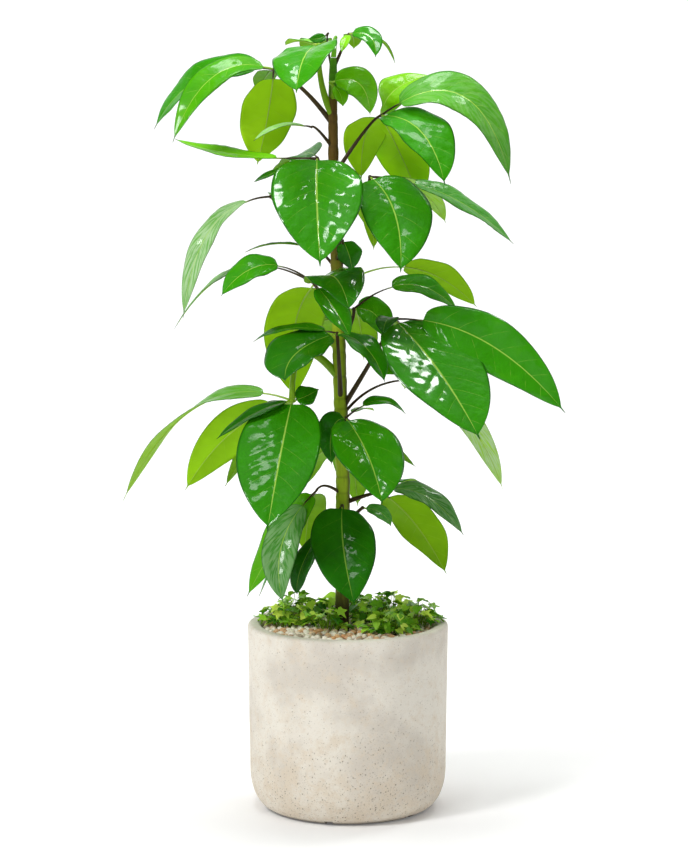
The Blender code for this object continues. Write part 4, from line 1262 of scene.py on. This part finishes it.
class PLANT_OT_cover(bpy.types.Operator):
    """Plant the sprays of ground cover"""

    bl_idname = "plant.cover"
    bl_label = "Ground cover"

    def execute(self, context):
        sizes, colours = context.scene.plant_sizes, context.scene.plant_colours
        leaf_shade, stalk_shade = cover_look(colours), stalk_look(colours)
        models = [self.leaf_model(reaches) for reaches in COVER_REACHES]
        for number, (name, entry) in enumerate(SPRAYS.items()):
            chance = random.Random(COVER_SEED + number)
            spray = self.spray(entry, models, sizes, chance, leaf_shade, stalk_shade)
            dress(join(spray, name + "_leaves"), "ground_cover", name)
        for model in models:
            bpy.data.objects.remove(model)
        return {"FINISHED"}

    def leaf_model(self, reaches):
        """A small lobed leaf: a filled circle with each of its points moved to its reach from the middle,
        folded a little along its middle and bent down at its tip. The reaches go from the tip to the base."""
        deselect()
        bpy.ops.mesh.primitive_circle_add(vertices=2 * len(reaches) - 2, radius=1.0, fill_type="TRIFAN")
        leaf = added("cover_leaf_model")
        for vert in leaf.data.vertices:
            if vert.co.length > 0.5:
                turn = math.atan2(abs(vert.co.x), vert.co.y)
                vert.co *= reaches[round(turn / math.pi * (len(reaches) - 1))]
                vert.co.z = 0.22 * abs(vert.co.x) - 0.16 * vert.co.y ** 2
            vert.co.y += reaches[-1]
        thicken(leaf, 0.03)
        bpy.ops.object.shade_smooth_by_angle(angle=math.radians(30))
        return leaf

    def spray(self, entry, models, sizes, chance, leaf_shade, stalk_shade):
        """Leaves on thin stalks in a low mound round the place where the spray is rooted."""
        (x, y), reach, count = entry
        foot = Vector((x, y, COVER_FOOT))
        made = []
        for i in range(count):
            angle = i * GOLDEN_ANGLE + chance.uniform(-0.3, 0.3)
            share = math.sqrt((i + 0.5) / count)
            away = reach * share * chance.uniform(0.85, 1.1)
            height = COVER_TOP - COVER_FALL * share ** 2 - chance.uniform(0.0, COVER_DEPTH)
            height = max(height + 0.12 * min(y, 0.0), COVER_LOWEST)
            spot = Vector((x + away * math.cos(angle), y + away * math.sin(angle), height))
            front = float(np.interp(spot.x, *zip(*FRONT_EDGE)))
            if spot.y < front:
                spot.y = front + chance.uniform(0.0, 0.016)
            if spot.xy.length > POT_EDGE:
                spot.z = max(spot.z, OVER_RIM)
            lean = chance.uniform(0.15, 1.15)
            size = sizes.cover_leaf * chance.uniform(0.62, 1.08)
            heading = angle + chance.uniform(-0.9, 0.9)
            turn = (Matrix.Translation(spot) @ Matrix.Rotation(heading - math.pi / 2, 4, "Z")
                    @ Matrix.Rotation(-lean * 0.5 + chance.uniform(-0.5, 0.5), 4, "X")
                    @ Matrix.Rotation(chance.uniform(-0.5, 0.5), 4, "Y") @ Matrix.Scale(size, 4))
            leaf = duplicate(chance.choice(models), "cover_leaf")
            place(leaf, turn)
            # Tone differs at random, and is darker the lower a leaf lies
            tone = chance.gauss(0.5, 0.36) + 10 * (height - COVER_MIDDLE)
            mark(leaf, "tone", min(1.0, max(0.0, tone)))
            leaf.data.materials.append(leaf_shade)
            made.append(leaf)
            root = foot.lerp(spot, 0.4)
            root.z = foot.z
            halfway = (root + spot) / 2 + Vector((0, 0, 0.006))
            points = [along(root, halfway, spot, share) for share in shares(5)]
            stalk = tube("cover_stalk", points, [COVER_STALK] * len(points), 0)
            mark(stalk, "tone", 0.8)
            stalk.data.materials.append(stalk_shade)
            made.append(stalk)
        return made


class PLANT_OT_stage(bpy.types.Operator):
    """Set up the studio: floor and backdrop, lights and camera"""

    bl_idname = "plant.stage"
    bl_label = "Studio"

    def execute(self, context):
        self.backdrop(context.scene.plant_colours)
        for name, lamp in LAMPS.items():
            self.light(name, *lamp)
        world = bpy.data.worlds.new("studio_light")
        world.use_nodes = True
        background = world.node_tree.nodes["Background"]
        background.inputs["Color"].default_value = (1, 1, 1, 1)
        background.inputs["Strength"].default_value = AMBIENT_LIGHT
        context.scene.world = world
        context.scene.view_settings.view_transform = "Standard"
        self.camera(context.scene)
        return {"FINISHED"}

    def backdrop(self, colours):
        """A round floor that curves up all round into a backdrop."""
        deselect()
        bpy.ops.mesh.primitive_circle_add(vertices=96, radius=FLOOR_RADIUS, fill_type="NGON")
        floor = added("studio_sweep")
        edit("EDGE")
        bpy.ops.mesh.extrude_edges_move(TRANSFORM_OT_translate={"value": (0, 0, WALL_HEIGHT)})
        leave_edit()
        bend = floor.modifiers.new("bend", "BEVEL")
        bend.width = SWEEP_BEND
        bend.segments = 20
        bend.angle_limit = math.radians(60)
        apply_modifiers(floor)
        bpy.ops.object.shade_smooth()
        floor.data.materials.append(paper_look(colours))

    def light(self, name, place, target, size, power):
        bpy.ops.object.light_add(type="AREA", location=place)
        lamp = added(name)
        lamp.data.shape = "SQUARE"
        lamp.data.size = size
        lamp.data.energy = power
        aim(lamp, place, target)

    def camera(self, scene):
        bpy.ops.object.camera_add(location=CAMERA_PLACE)
        camera = added("photo_view")
        aim(camera, CAMERA_PLACE, CAMERA_AIM)
        camera.data.sensor_fit = "VERTICAL"
        camera.data.sensor_height = SENSOR_HEIGHT
        camera.data.lens = LENS
        scene.camera = camera


STEPS = (PLANT_OT_pot, PLANT_OT_pebbles, PLANT_OT_stem, PLANT_OT_leaves, PLANT_OT_cover, PLANT_OT_stage)


class PLANT_PT_panel(bpy.types.Panel):
    """The plant's sizes, colours and pieces in the sidebar"""

    bl_idname = "PLANT_PT_panel"
    bl_label = "Potted Foliage Plant"
    bl_space_type = "VIEW_3D"
    bl_region_type = "UI"
    bl_category = "Plant"

    def draw(self, context):
        for step in STEPS:
            self.layout.operator(step.bl_idname)
        for group in (context.scene.plant_sizes, context.scene.plant_colours):
            box = self.layout.box()
            for name in group.bl_rna.properties.keys():
                if name not in ("name", "rna_type"):
                    box.prop(group, name)


CLASSES = (PlantSizes, PlantColours, *STEPS, PLANT_PT_panel)


def register():
    for cls in CLASSES:
        bpy.utils.register_class(cls)
    bpy.types.Scene.plant_sizes = PointerProperty(type=PlantSizes)
    bpy.types.Scene.plant_colours = PointerProperty(type=PlantColours)


def unregister():
    del bpy.types.Scene.plant_colours
    del bpy.types.Scene.plant_sizes
    for cls in reversed(CLASSES):
        bpy.utils.unregister_class(cls)


def main():
    """Makes every piece in order."""
    register()
    bpy.ops.plant.pot()
    bpy.ops.plant.pebbles()
    bpy.ops.plant.stem()
    bpy.ops.plant.leaves()
    bpy.ops.plant.cover()
    bpy.ops.plant.stage()


if __name__ == "__main__":
    main()
